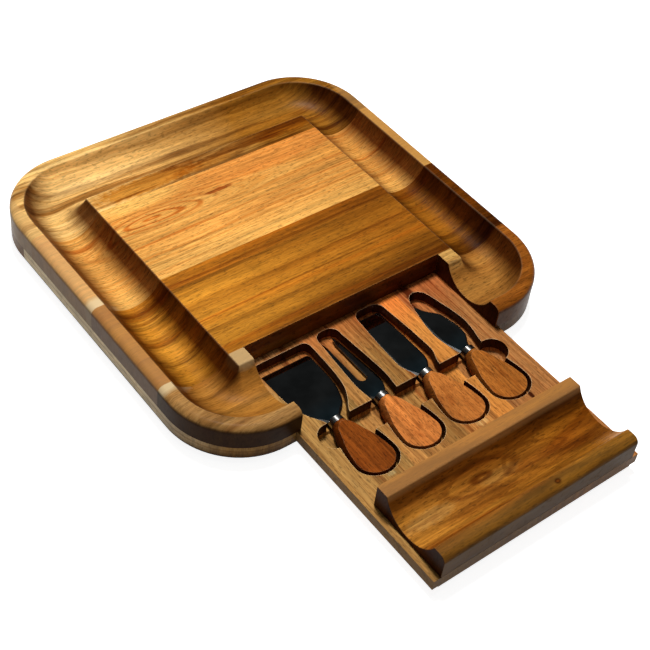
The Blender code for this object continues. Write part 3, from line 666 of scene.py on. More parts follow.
finishes["lower_middle_plank"] = wood(
    "brown_acacia", (0.6, 0.23, 0.02), (0.4, 0.13, 0.008), (0.25, 0.065, 0.003),
    heart=(0.16, 0.02, 0.06, 0.6), rings=(0.0045, 0.65), bands=(0.6, 0.009),
    tones=[fade("X", 0.0, -0.12, (1.22, 1.3, 1.4)), fade("X", -0.07, 0.08, (0.54, 0.48, 0.42)),
           streaks((2.4, 115, 20), (1.14, 0.98, 0.8), low=0.54, high=0.66, shift=(0, 3, 0)),
           streaks((1.6, 190, 30), (0.6, 0.5, 0.42), low=0.57, high=0.68),
           band("Y", 0.056, 0.075, 0.005, (0.8, 0.7, 0.6)),
           fade("Y", 0.014, -0.014, (0.62, 0.6, 0.5)),
           rim_strip(-1, 0.1535, (0.43, 0.205, 0.07), cover=0.75),
           rim_strip(1, 0.1535, (0.42, 0.32, 0.14)),
           outside((0.095, 0.055, 0.03))], wander=0.005, pores=0.35)
print("plank finishes", sorted(finishes))

# %% Finishes of the front corners
finishes["front_left_corner"] = wood(
    "pale_sapwood", (0.42, 0.175, 0.028), (0.27, 0.088, 0.01), (0.16, 0.045, 0.005),
    heart=(-0.12, -0.06, 0.06, 1.0), rings=(0.005, 0.7), bands=(0.6, 0.012),
    tones=[on_rim((0.92, 1.15, 2.2)),
           spot((-0.099, -0.0245, 0.038), (0.02, 0.013, 0.009), (0.55, 0.37, 0.17), ragged=0.2, cover=0.8),
           spot((-0.165, -0.0178, 0.036), (0.03, 0.0085, 0.03), (0.74, 0.56, 0.31), ragged=0.2, cover=0.8),
           # Its outer side is near black: end grain, darkened further by painted shade
           outside((0.02, 0.006, 0.002), amount=0.94)], pores=0.3, gloss=0.025)
finishes["front_right_corner"] = wood(
    "tan_sapwood", (0.44, 0.19, 0.036), (0.28, 0.09, 0.013), (0.15, 0.045, 0.006),
    heart=(0.12, -0.06, 0.06, 1.0), rings=(0.005, 0.7), bands=(0.6, 0.012),
    tones=[on_rim((0.7, 0.5, 0.3)),
           spot((0.099, -0.0245, 0.036), (0.02, 0.012, 0.012), (1.4, 1.8, 2.6), ragged=0.15),
           outside((0.11, 0.06, 0.035))], gloss=0.03)
print("corner finishes", len(finishes))

# %% Finishes of the runners and the rail
finishes["left_runner"] = wood(
    "cream_sapwood", (0.85, 0.7, 0.46), (0.72, 0.54, 0.3), (0.5, 0.33, 0.15),
    heart=(0.0, -0.16, 0.03, 0.5), rings=(0.005, 0.5), bands=(0.4, 0.014), turned=True,
    tones=[fade("Y", -0.01, -0.075, (0.42, 0.27, 0.12)),
           spot((-0.13, -0.085, 0.003), (0.09, 0.06, 0.0095), (0.38, 0.32, 0.24), ragged=0.1),
           band("Z", 0.0, 0.0068, 0.0005, (0.17, 0.12, 0.08), waver=0.0006),
           band("Z", 0.0115, 0.013, 0.0004, (0.75, 0.68, 0.58), waver=0.0006)], pores=0.2)
finishes["right_runner"] = wood(
    "warm_sapwood", (0.46, 0.27, 0.1), (0.32, 0.15, 0.04), (0.2, 0.075, 0.015),
    heart=(0.0, 0.16, 0.03, 0.5), rings=(0.005, 0.5), bands=(0.4, 0.014), turned=True,
    tones=[fade("Y", 0.02, -0.06, (0.3, 0.25, 0.22))])
finishes["back_rail"] = wood(
    "dark_heartwood", (0.2, 0.095, 0.032), (0.11, 0.045, 0.012), (0.06, 0.022, 0.006),
    heart=(0.0, 0.2, 0.03, 0.5), rings=(0.005, 0.6), bands=(0.5, 0.012))
print("board finishes", sorted(finishes))

# %% [markdown]
# ## Finishes of the drawer
#
# The tray is glued up from narrow strips, so its tone changes in steps from side to side, and it
# has small knots beside the recesses. In the trough block the cutter bared a wild dark figure.
# The four handles came from four pieces of wood, from a reddish to an orange one.

# %% Finish of the tray
STRIPS_HALF = 0.1
JOINT_SHARE = 0.003


def strips(stops):
    """Narrow boards glued side by side: each stop is an x in metres and the tone from there on."""
    def apply(tree, place, colour):
        across = remap(tree, along_axis(tree, place, AXES["X"]), -STRIPS_HALF, STRIPS_HALF)
        ramp = add_node(tree, "ValToRGB", {}, Fac=across)
        shades = ramp.color_ramp.elements
        shades.remove(shades[0])
        shades[0].position = 0
        shades[0].color = (*stops[0][1], 1)
        for (_, before), (x, after) in zip(stops, stops[1:]):
            share = (x + STRIPS_HALF) / (2 * STRIPS_HALF)
            shades.new(share - JOINT_SHARE).color = (*before, 1)
            shades.new(share + JOINT_SHARE).color = (*after, 1)
        return blend_colours(tree, 1.0, colour, ramp.outputs["Color"], "MULTIPLY")
    return apply


finishes["drawer_tray"] = wood(
    "rosy_acacia", (0.5, 0.235, 0.07), (0.33, 0.13, 0.03), (0.18, 0.056, 0.011),
    heart=(0.0, -0.07, 0.05, 0.8), rings=(0.005, 0.75), bands=(0.75, 0.009), turned=True,
    tones=[strips([(-0.1, (0.88, 1.0, 0.95)), (-0.045, (1.02, 1.03, 0.95)), (-0.012, (0.86, 0.88, 0.78)),
                   (0.006, (1.02, 0.92, 0.78)), (0.034, (1.42, 1.18, 0.8)), (0.05, (0.98, 0.87, 0.88))]),
           fade("Y", -0.06, -0.025, (1.14, 0.82, 0.78)),
           streaks((160, 3, 30), (0.6, 0.46, 0.4), low=0.57, high=0.67),
           band("X", -0.1, -0.0961, 0.0001, (0.15, 0.085, 0.035), waver=0.0, cover=0.7),
           band("X", 0.0961, 0.1, 0.0001, (0.15, 0.085, 0.035), waver=0.0, cover=0.7),
           band("Y", -0.24, -0.2371, 0.0001, (0.14, 0.075, 0.03), waver=0.0, cover=0.75),
           spot((0.0695, -0.154, 0.016), (0.0022, 0.005, 0.02), (0.12, 0.06, 0.04), ragged=0.3),
           spot((0.06, -0.028, 0.016), (0.005, 0.02, 0.02), (0.22, 0.13, 0.1)),
           spot((-0.073, -0.0195, 0.016), (0.012, 0.004, 0.02), (1.35, 1.7, 2.2)),
           spot((0.021, -0.154, 0.016), (0.0055, 0.003, 0.02), (1.4, 1.9, 2.6)),
           spot((-0.063, -0.154, 0.016), (0.004, 0.002, 0.02), (1.3, 1.7, 2.4))],
    pores=0.4, gloss=0.03, wear_glint=0.6)
print("strips across", STRIPS_HALF * 2, "m")

# %% Finish of the trough block
finishes["trough_block"] = wood(
    "deep_golden_acacia", (0.5, 0.19, 0.018), (0.22, 0.066, 0.006), (0.08, 0.02, 0.002),
    heart=(0.02, -0.196, 0.014, 7.0), rings=(0.012, 0.8), bands=(0.75, 0.014),
    tones=[streaks((5, 24, 9), (0.42, 0.29, 0.22), low=0.45, high=0.64, shift=(2, 1, 0), swirl=1.2),
           fade("X", 0.04, -0.07, (1.1, 1.15, 1.5)),
           # Painted shade: a darker band on the trough's back wall, just below the lip
           band("Y", -0.189, -0.1755, 0.004, (0.48, 0.38, 0.3), waver=0.004),
           oval((-0.018, -0.193, 0), (0.016, 0.0048), (0.5, 0.38, 0.3), rings=2.0, reach=3.0),
           # Painted sheen: two pale greyish patches on the trough
           spot((-0.067, -0.199, 0.022), (0.024, 0.006, 0.02), (1.12, 1.4, 2.4)),
           spot((-0.003, -0.1975, 0.022), (0.02, 0.005, 0.02), (1.05, 1.25, 2.0)),
           spot((-0.028, -0.2095, 0.022), (0.04, 0.007, 0.02), (0.66, 0.58, 0.55)),
           spot((0.0695, -0.193, 0.024), (0.03, 0.014, 0.02), (1.45, 1.5, 1.3)),
           spot((0.032, -0.2335, 0.034), (0.028, 0.0035, 0.008), (1.35, 1.4, 1.2)),
           band("Y", -0.18, -0.1665, 0.0008, (0.46, 0.22, 0.07), waver=0.0006, cover=0.55),
           band("Y", -0.24, -0.2265, 0.002, (0.11, 0.06, 0.012), waver=0.002, cover=0.55),
           band("Y", -0.24, -0.2371, 0.0001, (0.08, 0.045, 0.02), waver=0.0, cover=0.7),
           spot((0.0155, -0.2313, 0.0345), (0.0032, 0.0026, 0.004), (0.3, 0.2, 0.14), ragged=0.15),
           spot((0.0155, -0.2313, 0.0345), (0.0016, 0.0012, 0.004), (2.4, 2.3, 2.0), ragged=0.15),
           band("X", -0.1, -0.0902, 0.0002, (0.14, 0.08, 0.05), waver=0.0)], wander=0.026, pores=0.4,
    gloss=0.025, wear_glint=0.02)
print("drawer finishes", len(finishes))

# %% Finishes of the handles
MOTTLE = streaks((110, 45, 60), (0.72, 0.62, 0.56), low=0.5, high=0.68)


def handle_wood(name, light, dark, streak, heart_y, ring_strength, bands, gloss=0.02, wear_glint=0.35):
    """A close, mottled wood whose edges are worn light, with a painted highlight."""
    return wood(name, light, dark, streak, heart=(0.0, heart_y, 0.03, 0.5), rings=(0.004, ring_strength),
                bands=bands, pores=0.5, turned=True, tones=[MOTTLE], gloss=gloss, fine=1.6, wear_glint=wear_glint)


finishes["spade_handle"] = handle_wood(
    "reddish_handle_wood", (0.25, 0.06, 0.007), (0.14, 0.03, 0.003), (0.07, 0.015, 0.002),
    heart_y=0.06, ring_strength=0.45, bands=(0.6, 0.012), gloss=0.012, wear_glint=0.25)
finishes["fork_handle"] = handle_wood(
    "orange_handle_wood", (0.7, 0.225, 0.048), (0.5, 0.145, 0.026), (0.36, 0.09, 0.013),
    heart_y=0.02, ring_strength=0.35, bands=(0.3, 0.012))
finishes["flat_knife_handle"] = handle_wood(
    "mid_handle_wood", (0.5, 0.165, 0.032), (0.33, 0.095, 0.015), (0.18, 0.044, 0.006),
    heart_y=-0.02, ring_strength=0.4, bands=(0.45, 0.012))
finishes["pointed_knife_handle"] = handle_wood(
    "streaked_handle_wood", (0.47, 0.152, 0.024), (0.27, 0.075, 0.009), (0.06, 0.014, 0.002),
    heart_y=-0.06, ring_strength=0.5, bands=(0.65, 0.01))
print("wood materials", len(finishes))

# %% [markdown]
# ## Steel
#
# The blades are polished to a mirror, so they mostly show the dark room above them, with a
# painted bluish reflection near the heel. The polisher leaves very fine lines, and fingers leave a
# faint haze. The ground edges are duller, and their lighter colour is partly a painted highlight.
# The ferrules are turned, so their lines run round them.

# %% The polish group
# Ground faces are duller steel, and their lighter colour is partly a painted highlight
GROUND_GLINT_TONE = (0.36, 0.36, 0.36)
GROUND_DULLNESS = 0.2
polish, given, result = new_group("polish", [
    ("Vector", "Vector", None), ("Color", "Color", None), ("Line Scale", "Vector", None),
    ("Smoothest", "Float", 0.1), ("Roughest", "Float", 0.2), ("Ground", "Float", 0.0)],
    [("Color", "Color"), ("Roughness", "Float"), ("Height", "Float")])
source = given.outputs
haze = add_node(polish, "TexNoise", {}, Vector=source["Vector"], Scale=60.0, Detail=4.0).outputs["Fac"]
scratches = add_node(polish, "TexNoise", {}, Scale=1.0, Detail=2.0,
                     Vector=stretched(polish, source["Vector"], source["Line Scale"])).outputs["Fac"]
toned = brighten(polish, source["Color"], remap(polish, haze, 0.35, 0.65, 0.75, 1.25))
feed(polish, result.inputs["Color"], blend_colours(polish, source["Ground"], toned, GROUND_GLINT_TONE))
mixed = calc(polish, "MULTIPLY_ADD", haze, 0.5, calc(polish, "MULTIPLY", scratches, 0.5))
mixed = remap(polish, mixed, 0.3, 0.7, source["Smoothest"], source["Roughest"])
feed(polish, result.inputs["Roughness"],
     calc(polish, "MULTIPLY_ADD", source["Ground"], GROUND_DULLNESS, mixed))
feed(polish, result.inputs["Height"], scratches)
print("polish nodes", len(polish.nodes))

# %% Steel materials
SCRATCH_DEPTH = 0.00002
TOOLS = ("spade", "fork", "flat_knife", "pointed_knife")


def steel(name, colour, smoothest, roughest, line_scale, tones=()):
    """A polished metal. line_scale says how fast its fine lines change along X, Y and Z."""
    made, tree, shader = new_material(name)
    place = add_node(tree, "TexCoord").outputs["Object"]
    for apply in tones:
        colour = apply(tree, place, colour)
    metal = place_group(tree, polish, Vector=place, Color=colour, Line_Scale=line_scale,
                        Smoothest=smoothest, Roughest=roughest, Ground=mask_of(tree, "worn_glint"))
    feed(tree, shader.inputs["Base Color"], metal.outputs["Color"])
    feed(tree, shader.inputs["Roughness"], metal.outputs["Roughness"])
    shader.inputs["Metallic"].default_value = 1.0
    bump = add_node(tree, "Bump", {}, Strength=0.01, Distance=SCRATCH_DEPTH, Height=metal.outputs["Height"])
    feed(tree, shader.inputs["Normal"], bump.outputs["Normal"])
    return made


# Painted reflection: the blades turn bluish and lighter near the heel
blade_steel = steel("polished_steel", (0.25, 0.26, 0.26), smoothest=0.03, roughest=0.06,
                    line_scale=(900, 60, 60), tones=[fade("Y", -0.07, -0.092, (0.75, 1.4, 1.75))])
ferrule_steel = steel("ferrule_steel", (0.4, 0.39, 0.37), smoothest=0.2, roughest=0.28,
                      line_scale=(60, 2500, 60))
for tool in TOOLS:
    finishes[tool + "_blade"] = blade_steel
    finishes[tool + "_ferrule"] = ferrule_steel
print("steel materials", blade_steel.name, ferrule_steel.name)

# %% [markdown]
# ## Helpers for modelling as by hand
#
# Each piece is shaped in edit mode, one at a time and by the same few steps: it is opened, some
# edges are picked by where they lie, something is done to them, and it is closed again. Picking
# by place instead of by number keeps working when a size changes.

# %% Open, pick and close
NEAR = 0.00002


def select_only(piece):
    bpy.ops.object.select_all(action="DESELECT")
    piece.select_set(True)
    bpy.context.view_layer.objects.active = piece


def open_piece(piece):
    """Put one piece alone in edit mode, with everything in it selected."""
    select_only(piece)
    bpy.ops.object.mode_set(mode="EDIT")
    bpy.ops.mesh.select_mode(type="VERT")
    bpy.ops.mesh.select_all(action="SELECT")


def close_piece():
    bpy.ops.object.mode_set(mode="OBJECT")


def pick_edges(piece, test):
    """Select the edges whose two ends both pass the test."""
    bpy.ops.mesh.select_all(action="DESELECT")
    bpy.ops.mesh.select_mode(type="EDGE")
    shape = bmesh.from_edit_mesh(piece.data)
    picked = [edge for edge in shape.edges if all(test(corner.co) for corner in edge.verts)]
    for edge in picked:
        edge.select_set(True)
    shape.select_flush_mode()
    bmesh.update_edit_mesh(piece.data)
    return len(picked)


print("a point counts as on a plane within", NEAR * 1000, "mm")

# %% [markdown]
# ## Helpers that remember where the finish changes
#
# The finish has to know the worn faces, which also carry a painted highlight, the faces sawn
# across the grain together with those that get painted shade, and the ground faces. Painting them
# by hand is slow on so many pieces, so each piece remembers them in two attributes, found from the
# width of a face or from its direction.

# %% Marks for worn edges and painted highlight, sawn faces and painted shade, ground faces
WORN_GLINT_WIDTH = 0.001
LEVEL, STEEP, SLANTED = 0.995, 0.3, 0.05
END_SHADE_START, END_SHADE_SPAN = 0.15, 0.5


def layer_of(layers, name):
    """An attribute of the faces or their corners, made when it isn't there yet."""
    return layers.float.get(name) or layers.float.new(name)


def mark_worn_glint(piece):
    """Remember the narrow selected faces as worn edges with a painted highlight, to lighten them."""
    shape = bmesh.from_edit_mesh(piece.data)
    layer = layer_of(shape.faces.layers, "worn_glint")
    for face in shape.faces:
        width = 2 * face.calc_area() / face.calc_perimeter()
        if face.select and width < WORN_GLINT_WIDTH:
            face[layer] = 1.0
    bmesh.update_edit_mesh(piece.data)


def mark_end_grain_shade(piece, test, direction=None, most=1.0):
    """Remember where a saw or cutter crossed the grain, and where shade is painted, to darken them.

    With a direction, curved and upright faces are marked by how far they face along it."""
    open_piece(piece)
    shape = bmesh.from_edit_mesh(piece.data)
    shape.normal_update()
    layer = layer_of(shape.loops.layers, "end_grain_shade")
    for face in shape.faces:
        if not test(face.calc_center_median()):
            continue
        curved = direction and abs(face.normal.z) < LEVEL
        for corner in face.loops:
            if curved:
                facing = abs(corner.vert.normal.dot(direction))
                corner[layer] = most * min(max((facing - END_SHADE_START) / END_SHADE_SPAN, 0), 1)
            else:
                corner[layer] = most if not direction and abs(face.normal.z) < STEEP else 0
    bmesh.update_edit_mesh(piece.data)
    close_piece()


def mark_ground(piece):
    """Remember the slanted faces of a blade: the grindstone left them duller, with a painted highlight."""
    open_piece(piece)
    shape = bmesh.from_edit_mesh(piece.data)
    shape.normal_update()
    layer = layer_of(shape.faces.layers, "worn_glint")
    for face in shape.faces:
        if SLANTED < abs(face.normal.z) < LEVEL:
            face[layer] = 1.0
    bmesh.update_edit_mesh(piece.data)
    close_piece()


print("worn faces are under", WORN_GLINT_WIDTH * 1000, "mm wide")

# %% [markdown]
# ## Helpers that saw, finish and dress a piece
#
# A saw cut is a slice with a plane. The finish is smooth shading up to a sharp angle, with
# weighted normals, so that wide flat faces stay flat beside their small rounded edges. At the end
# each piece gets its material and the body that it moves with.

# %% Slice, copy, finish and dress
SMOOTH_ANGLE = 32


def slice_off(piece, point, normal):
    """Cut the piece with a plane, throw away what lies in front of it, and close the cut."""
    open_piece(piece)
    bpy.ops.mesh.bisect(plane_co=point, plane_no=normal, use_fill=True, clear_outer=True)
    close_piece()


def copy_of(piece, name):
    made = bpy.data.objects.new(name, piece.data.copy())
    made.data.name = name
    scene.collection.objects.link(made)
    return made


def finish_shading(piece):
    select_only(piece)
    bpy.ops.object.shade_smooth_by_angle(angle=math.radians(SMOOTH_ANGLE))
    normals = piece.modifiers.new("flat_faces", "WEIGHTED_NORMAL")
    normals.keep_sharp = True
    bpy.ops.object.modifier_apply(modifier=normals.name)


def dress(piece, node):
    """Give the finished piece its material and its body, and hide the CAD node that it stands for."""
    piece.data.materials.clear()
    piece.data.materials.append(finishes[node])
    cad = frame["nodes"][node]
    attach(piece, cad["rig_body"])
    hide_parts(node)
    print(piece.name, len(piece.data.polygons), "faces")


# %% [markdown]
# ## Top layer: one blank with the moat in it
#
# The real top is glued up from planks and the moat is routed round it afterwards, so one blank
# is shaped first and sawn into its planks later. A plane gets its round corners, is drawn up to
# the thickness of the layer, and is then inset again and again. Each inset goes a little inwards
# and a little up or down, so together they follow the rounded rim, the flat rim, the round
# floor of the moat and the edge of the middle.

# %% Outline of the board
LAYER_JOINT, BOARD_TOP = 0.0165, 0.036
CORNER_STEPS = 20


def rounded_slab(name, height):
    """A plane with the board's outline and four round corners, at one height."""
    bpy.ops.object.select_all(action="DESELECT")
    bpy.ops.mesh.primitive_plane_add(size=1, location=(0, BOARD_MIDDLE, height))
    slab = bpy.context.object
    slab.name = name
    slab.scale = (BOARD_WIDTH, BOARD_DEPTH, 1)
    bpy.ops.object.transform_apply(location=True, scale=True)
    open_piece(slab)
    bpy.ops.mesh.bevel(offset=CORNER_RADIUS, segments=CORNER_STEPS, affect="VERTICES", clamp_overlap=False)
    bpy.ops.mesh.select_all(action="SELECT")
    return slab


def inset_by(inwards, upwards):
    bpy.ops.mesh.inset(thickness=inwards, depth=upwards, use_even_offset=True)


print("the top layer is", round((BOARD_TOP - LAYER_JOINT) * 1000, 1), "mm thick")

# %% Side, rim and moat
ROUNDOVER, ROUNDOVER_STEPS = 0.0055, 6
MOAT_WIDTH, MOAT_DEPTH, MOAT_STEPS = 0.0475, 0.0164, 24
blank = rounded_slab("top_blank", LAYER_JOINT)
side_height = BOARD_TOP - LAYER_JOINT - ROUNDOVER
bpy.ops.mesh.extrude_region_move(TRANSFORM_OT_translate={"value": (0, 0, side_height)})
profile = []
for step in range(ROUNDOVER_STEPS + 1):
    angle = math.radians(90 * step / ROUNDOVER_STEPS)
    profile.append((ROUNDOVER * (1 - math.cos(angle)), ROUNDOVER * math.sin(angle) - ROUNDOVER))
profile.append((RIM_WIDTH, 0.0))
moat_radius = (MOAT_WIDTH ** 2 / 4 + MOAT_DEPTH ** 2) / (2 * MOAT_DEPTH)
moat_reach = math.asin(MOAT_WIDTH / 2 / moat_radius)
for step in range(1, MOAT_STEPS + 1):
    angle = moat_reach * (2 * step / MOAT_STEPS - 1)
    profile.append((RIM_WIDTH + MOAT_WIDTH / 2 + moat_radius * math.sin(angle),
                    moat_radius - MOAT_DEPTH - moat_radius * math.cos(angle)))
for (near, low), (far, high) in zip(profile, profile[1:]):
    inset_by(far - near, high - low)
print("profile points", len(profile), "moat radius", round(moat_radius * 1000, 2), "mm")

# %% Round the moat's two edges
ARRIS = 0.0009
LOOP_NEAR = NEAR * 5
SIDEWAYS = Vector((1, 0, 0))
RIM_CORNER = CORNER_RADIUS - RIM_WIDTH
middle_x = BOARD_WIDTH / 2 - RIM_WIDTH - MOAT_WIDTH
middle_y = BOARD_DEPTH / 2 - RIM_WIDTH - MOAT_WIDTH


def from_corner(point):
    """How far a point lies outside the rectangle through the centres of the four round corners."""
    x = max(abs(point.x) - BOARD_WIDTH / 2 + CORNER_RADIUS, 0)
    y = max(abs(point.y - BOARD_MIDDLE) - BOARD_DEPTH / 2 + CORNER_RADIUS, 0)
    return math.hypot(x, y)


def on_moat_edge(point):
    """True on the two loops where the flat top meets the moat."""
    on_middle = abs(point.x) < middle_x + NEAR and abs(point.y - BOARD_MIDDLE) < middle_y + NEAR
    on_rim = abs(from_corner(point) - RIM_CORNER) < LOOP_NEAR
    return abs(point.z - BOARD_TOP) < NEAR and (on_middle or on_rim)


def in_moat(point):
    """True inside the flat rim."""
    return from_corner(point) < RIM_CORNER + ARRIS


print("moat edges picked", pick_edges(blank, on_moat_edge))
bpy.ops.mesh.bevel(offset=ARRIS, segments=3, affect="EDGES", clamp_overlap=False)
mark_worn_glint(blank)
close_piece()
# The moat's walls that face along X cross the grain: their darkening is partly end grain and partly painted
# shade
mark_end_grain_shade(blank, in_moat, SIDEWAYS)
print("blank", len(blank.data.polygons), "faces")

# %% [markdown]
# ## Saw the blank into planks
#
# The joints run straight from side to side. Slicing the one blank keeps the moat's curve
# unbroken over each joint, as sanding does on the real board, and the planks meet with no gap.

# %% Planks
BACK_JOINT, MIDDLE_JOINT, FRONT_JOINT = 0.15876, 0.07076, -0.01775
CUT_HALF = 0.0925
BACKWARDS = Vector((0, 1, 0))
plank_ends = {"back_plank": (None, BACK_JOINT), "upper_middle_plank": (BACK_JOINT, MIDDLE_JOINT),
              "lower_middle_plank": (MIDDLE_JOINT, FRONT_JOINT)}
corner_sides = {"front_left_corner": -1, "front_right_corner": 1}
pieces = {}
for node, (back, front) in plank_ends.items():
    piece = copy_of(blank, node + "_wood")
    if back is not None:
        slice_off(piece, (0, back, 0), BACKWARDS)
    slice_off(piece, (0, front, 0), -BACKWARDS)
    pieces[node] = piece
for node, side in corner_sides.items():
    piece = copy_of(blank, node + "_wood")
    slice_off(piece, (0, FRONT_JOINT, 0), BACKWARDS)
    slice_off(piece, (side * CUT_HALF, 0, 0), -side * SIDEWAYS)
    pieces[node] = piece
print("planks", sorted(pieces))

# %% [markdown]
# ## The trough block
#
# The block is the part of the board's front that was sawn out and glued on the drawer. So it is
# sliced from the same blank, and then moved forwards by the drawer's opening.

# %% Trough block
BLOCK_HALF = 0.0905
BLOCK_BACK = -0.02025
OPENING = 0.1475
TRAY_TOP = 0.0160
GLUE_GAP = 0.0003
block = copy_of(blank, "trough_block_wood")
slice_off(block, (BLOCK_HALF, 0, 0), SIDEWAYS)
slice_off(block, (-BLOCK_HALF, 0, 0), -SIDEWAYS)
slice_off(block, (0, BLOCK_BACK, 0), BACKWARDS)
open_piece(block)
bpy.ops.transform.translate(value=(0, -OPENING, 0))
pick_edges(block, lambda point: point.z < LAYER_JOINT + NEAR)
bpy.ops.transform.translate(value=(0, 0, TRAY_TOP + GLUE_GAP - LAYER_JOINT))
close_piece()
pieces["trough_block"] = block
print("the block moves", OPENING * 1000, "mm forwards with the drawer")

# %% [markdown]
# ## Break the sawn edges
#
# Where the drawer parts from the board the edges were only sanded by hand, so they get a
# narrow round. Glued joints keep their square corners and stay invisible but for the grain.

# %% Break the edges
SANDED = 0.0006


def on_plane(axis, place):
    """A test for points that lie on one plane across x, y or z."""
    return lambda point: abs(getattr(point, axis) - place) < NEAR


def break_edges(piece, test, width=SANDED, clamp=True):
    """Bevel edges whose ends pass the test; remember the bevel as worn, with a painted highlight."""
    open_piece(piece)
    count = pick_edges(piece, test)
    bpy.ops.mesh.bevel(offset=width, segments=2, affect="EDGES", clamp_overlap=clamp)
    mark_worn_glint(piece)
    close_piece()
    print(piece.name, "edges broken", count)


for side in (-1, 1):
    break_edges(block, on_plane("x", side * BLOCK_HALF))
for node, side in corner_sides.items():
    break_edges(pieces[node], on_plane("x", side * CUT_HALF))
    mark_end_grain_shade(pieces[node], on_plane("x", side * CUT_HALF))

# %% The plank behind the drawer
plank = pieces["lower_middle_plank"]
open_piece(plank)
for side in (-1, 1):
    bpy.ops.mesh.select_all(action="SELECT")
    bpy.ops.mesh.bisect(plane_co=(side * CUT_HALF, 0, 0), plane_no=SIDEWAYS)
close_piece()


def on_cut_edge(point):
    """True on the top edge that the drawer's cut bares."""
    on_front = abs(point.y - FRONT_JOINT) < NEAR and abs(point.z - BOARD_TOP) < NEAR
    return on_front and abs(point.x) < CUT_HALF + NEAR


break_edges(plank, on_cut_edge)

# %% [markdown]
# ## Bottom layer
#
# Two runners carry the drawer and one rail lies behind it. They share the board's outline, with
# an undercut below so that fingers can lift the board. A long groove on each runner holds the
# tongue of the tray.

# %% Base with its undercut
UNDERCUT = 0.006
base = rounded_slab("base_blank", UNDERCUT)
bpy.ops.mesh.extrude_region_move(TRANSFORM_OT_translate={"value": (0, 0, LAYER_JOINT - UNDERCUT)})
bpy.ops.mesh.select_all(action="DESELECT")
bpy.ops.mesh.select_mode(type="FACE")
shape = bmesh.from_edit_mesh(base.data)
shape.normal_update()
for face in shape.faces:
    if abs(face.normal.z) > LEVEL and face.calc_center_median().z < UNDERCUT + NEAR:
        face.select_set(True)
bmesh.update_edit_mesh(base.data)
inset_by(UNDERCUT, UNDERCUT)
bpy.ops.mesh.select_all(action="SELECT")
bpy.ops.mesh.normals_make_consistent(inside=False)
close_piece()
print("undercut", UNDERCUT * 1000, "mm")

# %% Runners and rail
RAIL_JOINT = 0.17175
RUNNER_INNER = 0.0911
GROOVE_OUTER, LEDGE = 0.0970, 0.0068
# The box that cuts the groove reaches well past the runner: inwards, at both ends and above
BOX_INNER, BOX_END, BOX_TOP = 0.05, 0.2, 0.05


def cut_box(piece, low, high):
    """Cut a box out of the piece, given its lowest and highest corner."""
    bpy.ops.object.select_all(action="DESELECT")
    middle = [(a + b) / 2 for a, b in zip(low, high)]
    bpy.ops.mesh.primitive_cube_add(size=1, location=middle, scale=[b - a for a, b in zip(low, high)])
    cutter = bpy.context.object
    bpy.ops.object.transform_apply(location=True, scale=True)
    select_only(piece)
    cut = piece.modifiers.new("cut", "BOOLEAN")
    cut.operation = "DIFFERENCE"
    cut.solver = "EXACT"
    cut.object = cutter
    bpy.ops.object.modifier_apply(modifier=cut.name)
    bpy.data.objects.remove(cutter)


for node, side in (("left_runner", -1), ("right_runner", 1)):
    runner = copy_of(base, node + "_wood")
    slice_off(runner, (0, RAIL_JOINT, 0), BACKWARDS)
    slice_off(runner, (side * RUNNER_INNER, 0, 0), -side * SIDEWAYS)
    low, high = sorted((side * BOX_INNER, side * GROOVE_OUTER))
    cut_box(runner, (low, -BOX_END, LEDGE), (high, BOX_END, BOX_TOP))
    pieces[node] = runner
rail = copy_of(base, "back_rail_wood")
slice_off(rail, (0, RAIL_JOINT, 0), -BACKWARDS)
pieces["back_rail"] = rail
bpy.data.objects.remove(blank)
bpy.data.objects.remove(base)
print("pieces", sorted(pieces))

# %% [markdown]
# ## Pieces refined from the CAD
#
# The tray, the blades, the ferrules and the handles already have their right shapes. A copy of
# each is cleaned: its loose triangles are welded and flat faces are merged. Then the edges that
# were sanded, round the recesses and on the flats of the handles, get a narrow round.

# %% Copies of the CAD nodes
WELD = 0.000005
FLAT_ANGLE = 0.6


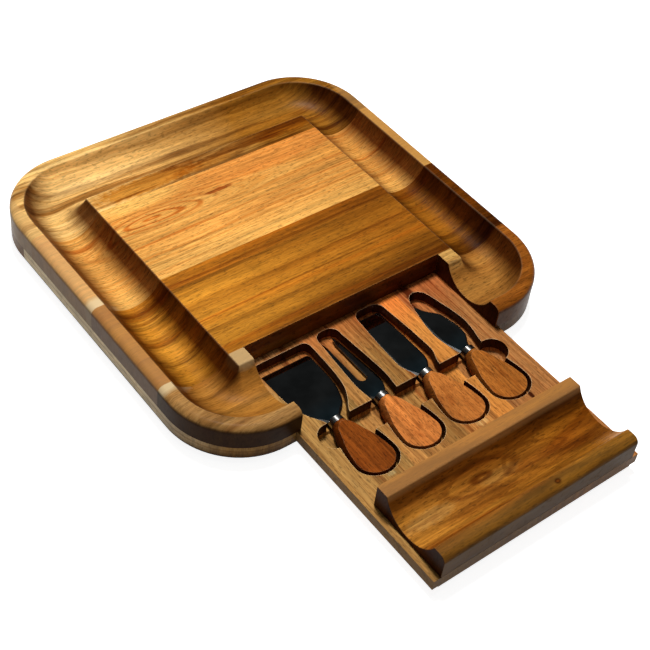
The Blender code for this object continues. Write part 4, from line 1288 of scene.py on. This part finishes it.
def refined(node, stuff):
    """A clean copy of a CAD node, named after the node and its stuff."""
    piece = copy_of(frame["nodes"][node], node + "_" + stuff)
    open_piece(piece)
    bpy.ops.mesh.remove_doubles(threshold=WELD)
    bpy.ops.mesh.dissolve_limited(angle_limit=math.radians(FLAT_ANGLE))
    bpy.ops.mesh.customdata_custom_splitnormals_clear()
    close_piece()
    pieces[node] = piece
    return piece


print("points closer than", WELD * 1000, "mm are welded")

# %% Tray
RECESSES_BACK, RECESSES_FRONT, RECESSES_HALF = 0.0225, -0.16, 0.0872
RECESS_BREAK = 0.00035
INSIDE_HALF, INSIDE_FRONT = 0.089, -0.236


def on_recess_edge(point):
    """True on the outlines of the recesses, but not on the tray's own outline."""
    inside = abs(point.x) < RECESSES_HALF and RECESSES_FRONT < point.y < RECESSES_BACK
    return inside and abs(point.z - TRAY_TOP) < NEAR


tray = refined("drawer_tray", "wood")
break_edges(tray, on_recess_edge, RECESS_BREAK, clamp=False)
# Every upright wall inside the tray is darkened: end grain on walls across the grain, painted shade in the
# recesses
mark_end_grain_shade(tray, lambda point: abs(point.x) < INSIDE_HALF and point.y > INSIDE_FRONT)

# %% Tools
TOOL_AXIS, HANDLE_FLAT = 0.0093, 0.0063
HANDLE_BREAK = 0.0007
HANDLE_SIDE_SHADE = 0.6
for tool in TOOLS:
    handle = refined(tool + "_handle", "wood")
    for side in (-1, 1):
        break_edges(handle, on_plane("z", TOOL_AXIS + side * HANDLE_FLAT), HANDLE_BREAK)
    # Painted shade on the handles' sides, darker the more they face along X
    mark_end_grain_shade(handle, lambda point: True, SIDEWAYS, most=HANDLE_SIDE_SHADE)
    mark_ground(refined(tool + "_blade", "steel"))
    refined(tool + "_ferrule", "steel")

# %% Shade, dress and place every piece
for node, piece in pieces.items():
    finish_shading(piece)
    dress(piece, node)

# %% [markdown]
# ## Size of the dressed board
#
# The dressed board has to stay as large as the CAD model. Both boxes are printed.

# %% Sizes
boxes = {"cad": [list(corner) for corner in cad_box], "visual": [list(corner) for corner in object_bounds()]}
for title, corners in boxes.items():
    print(title, [[round(number * 1000, 2) for number in corner] for corner in corners])
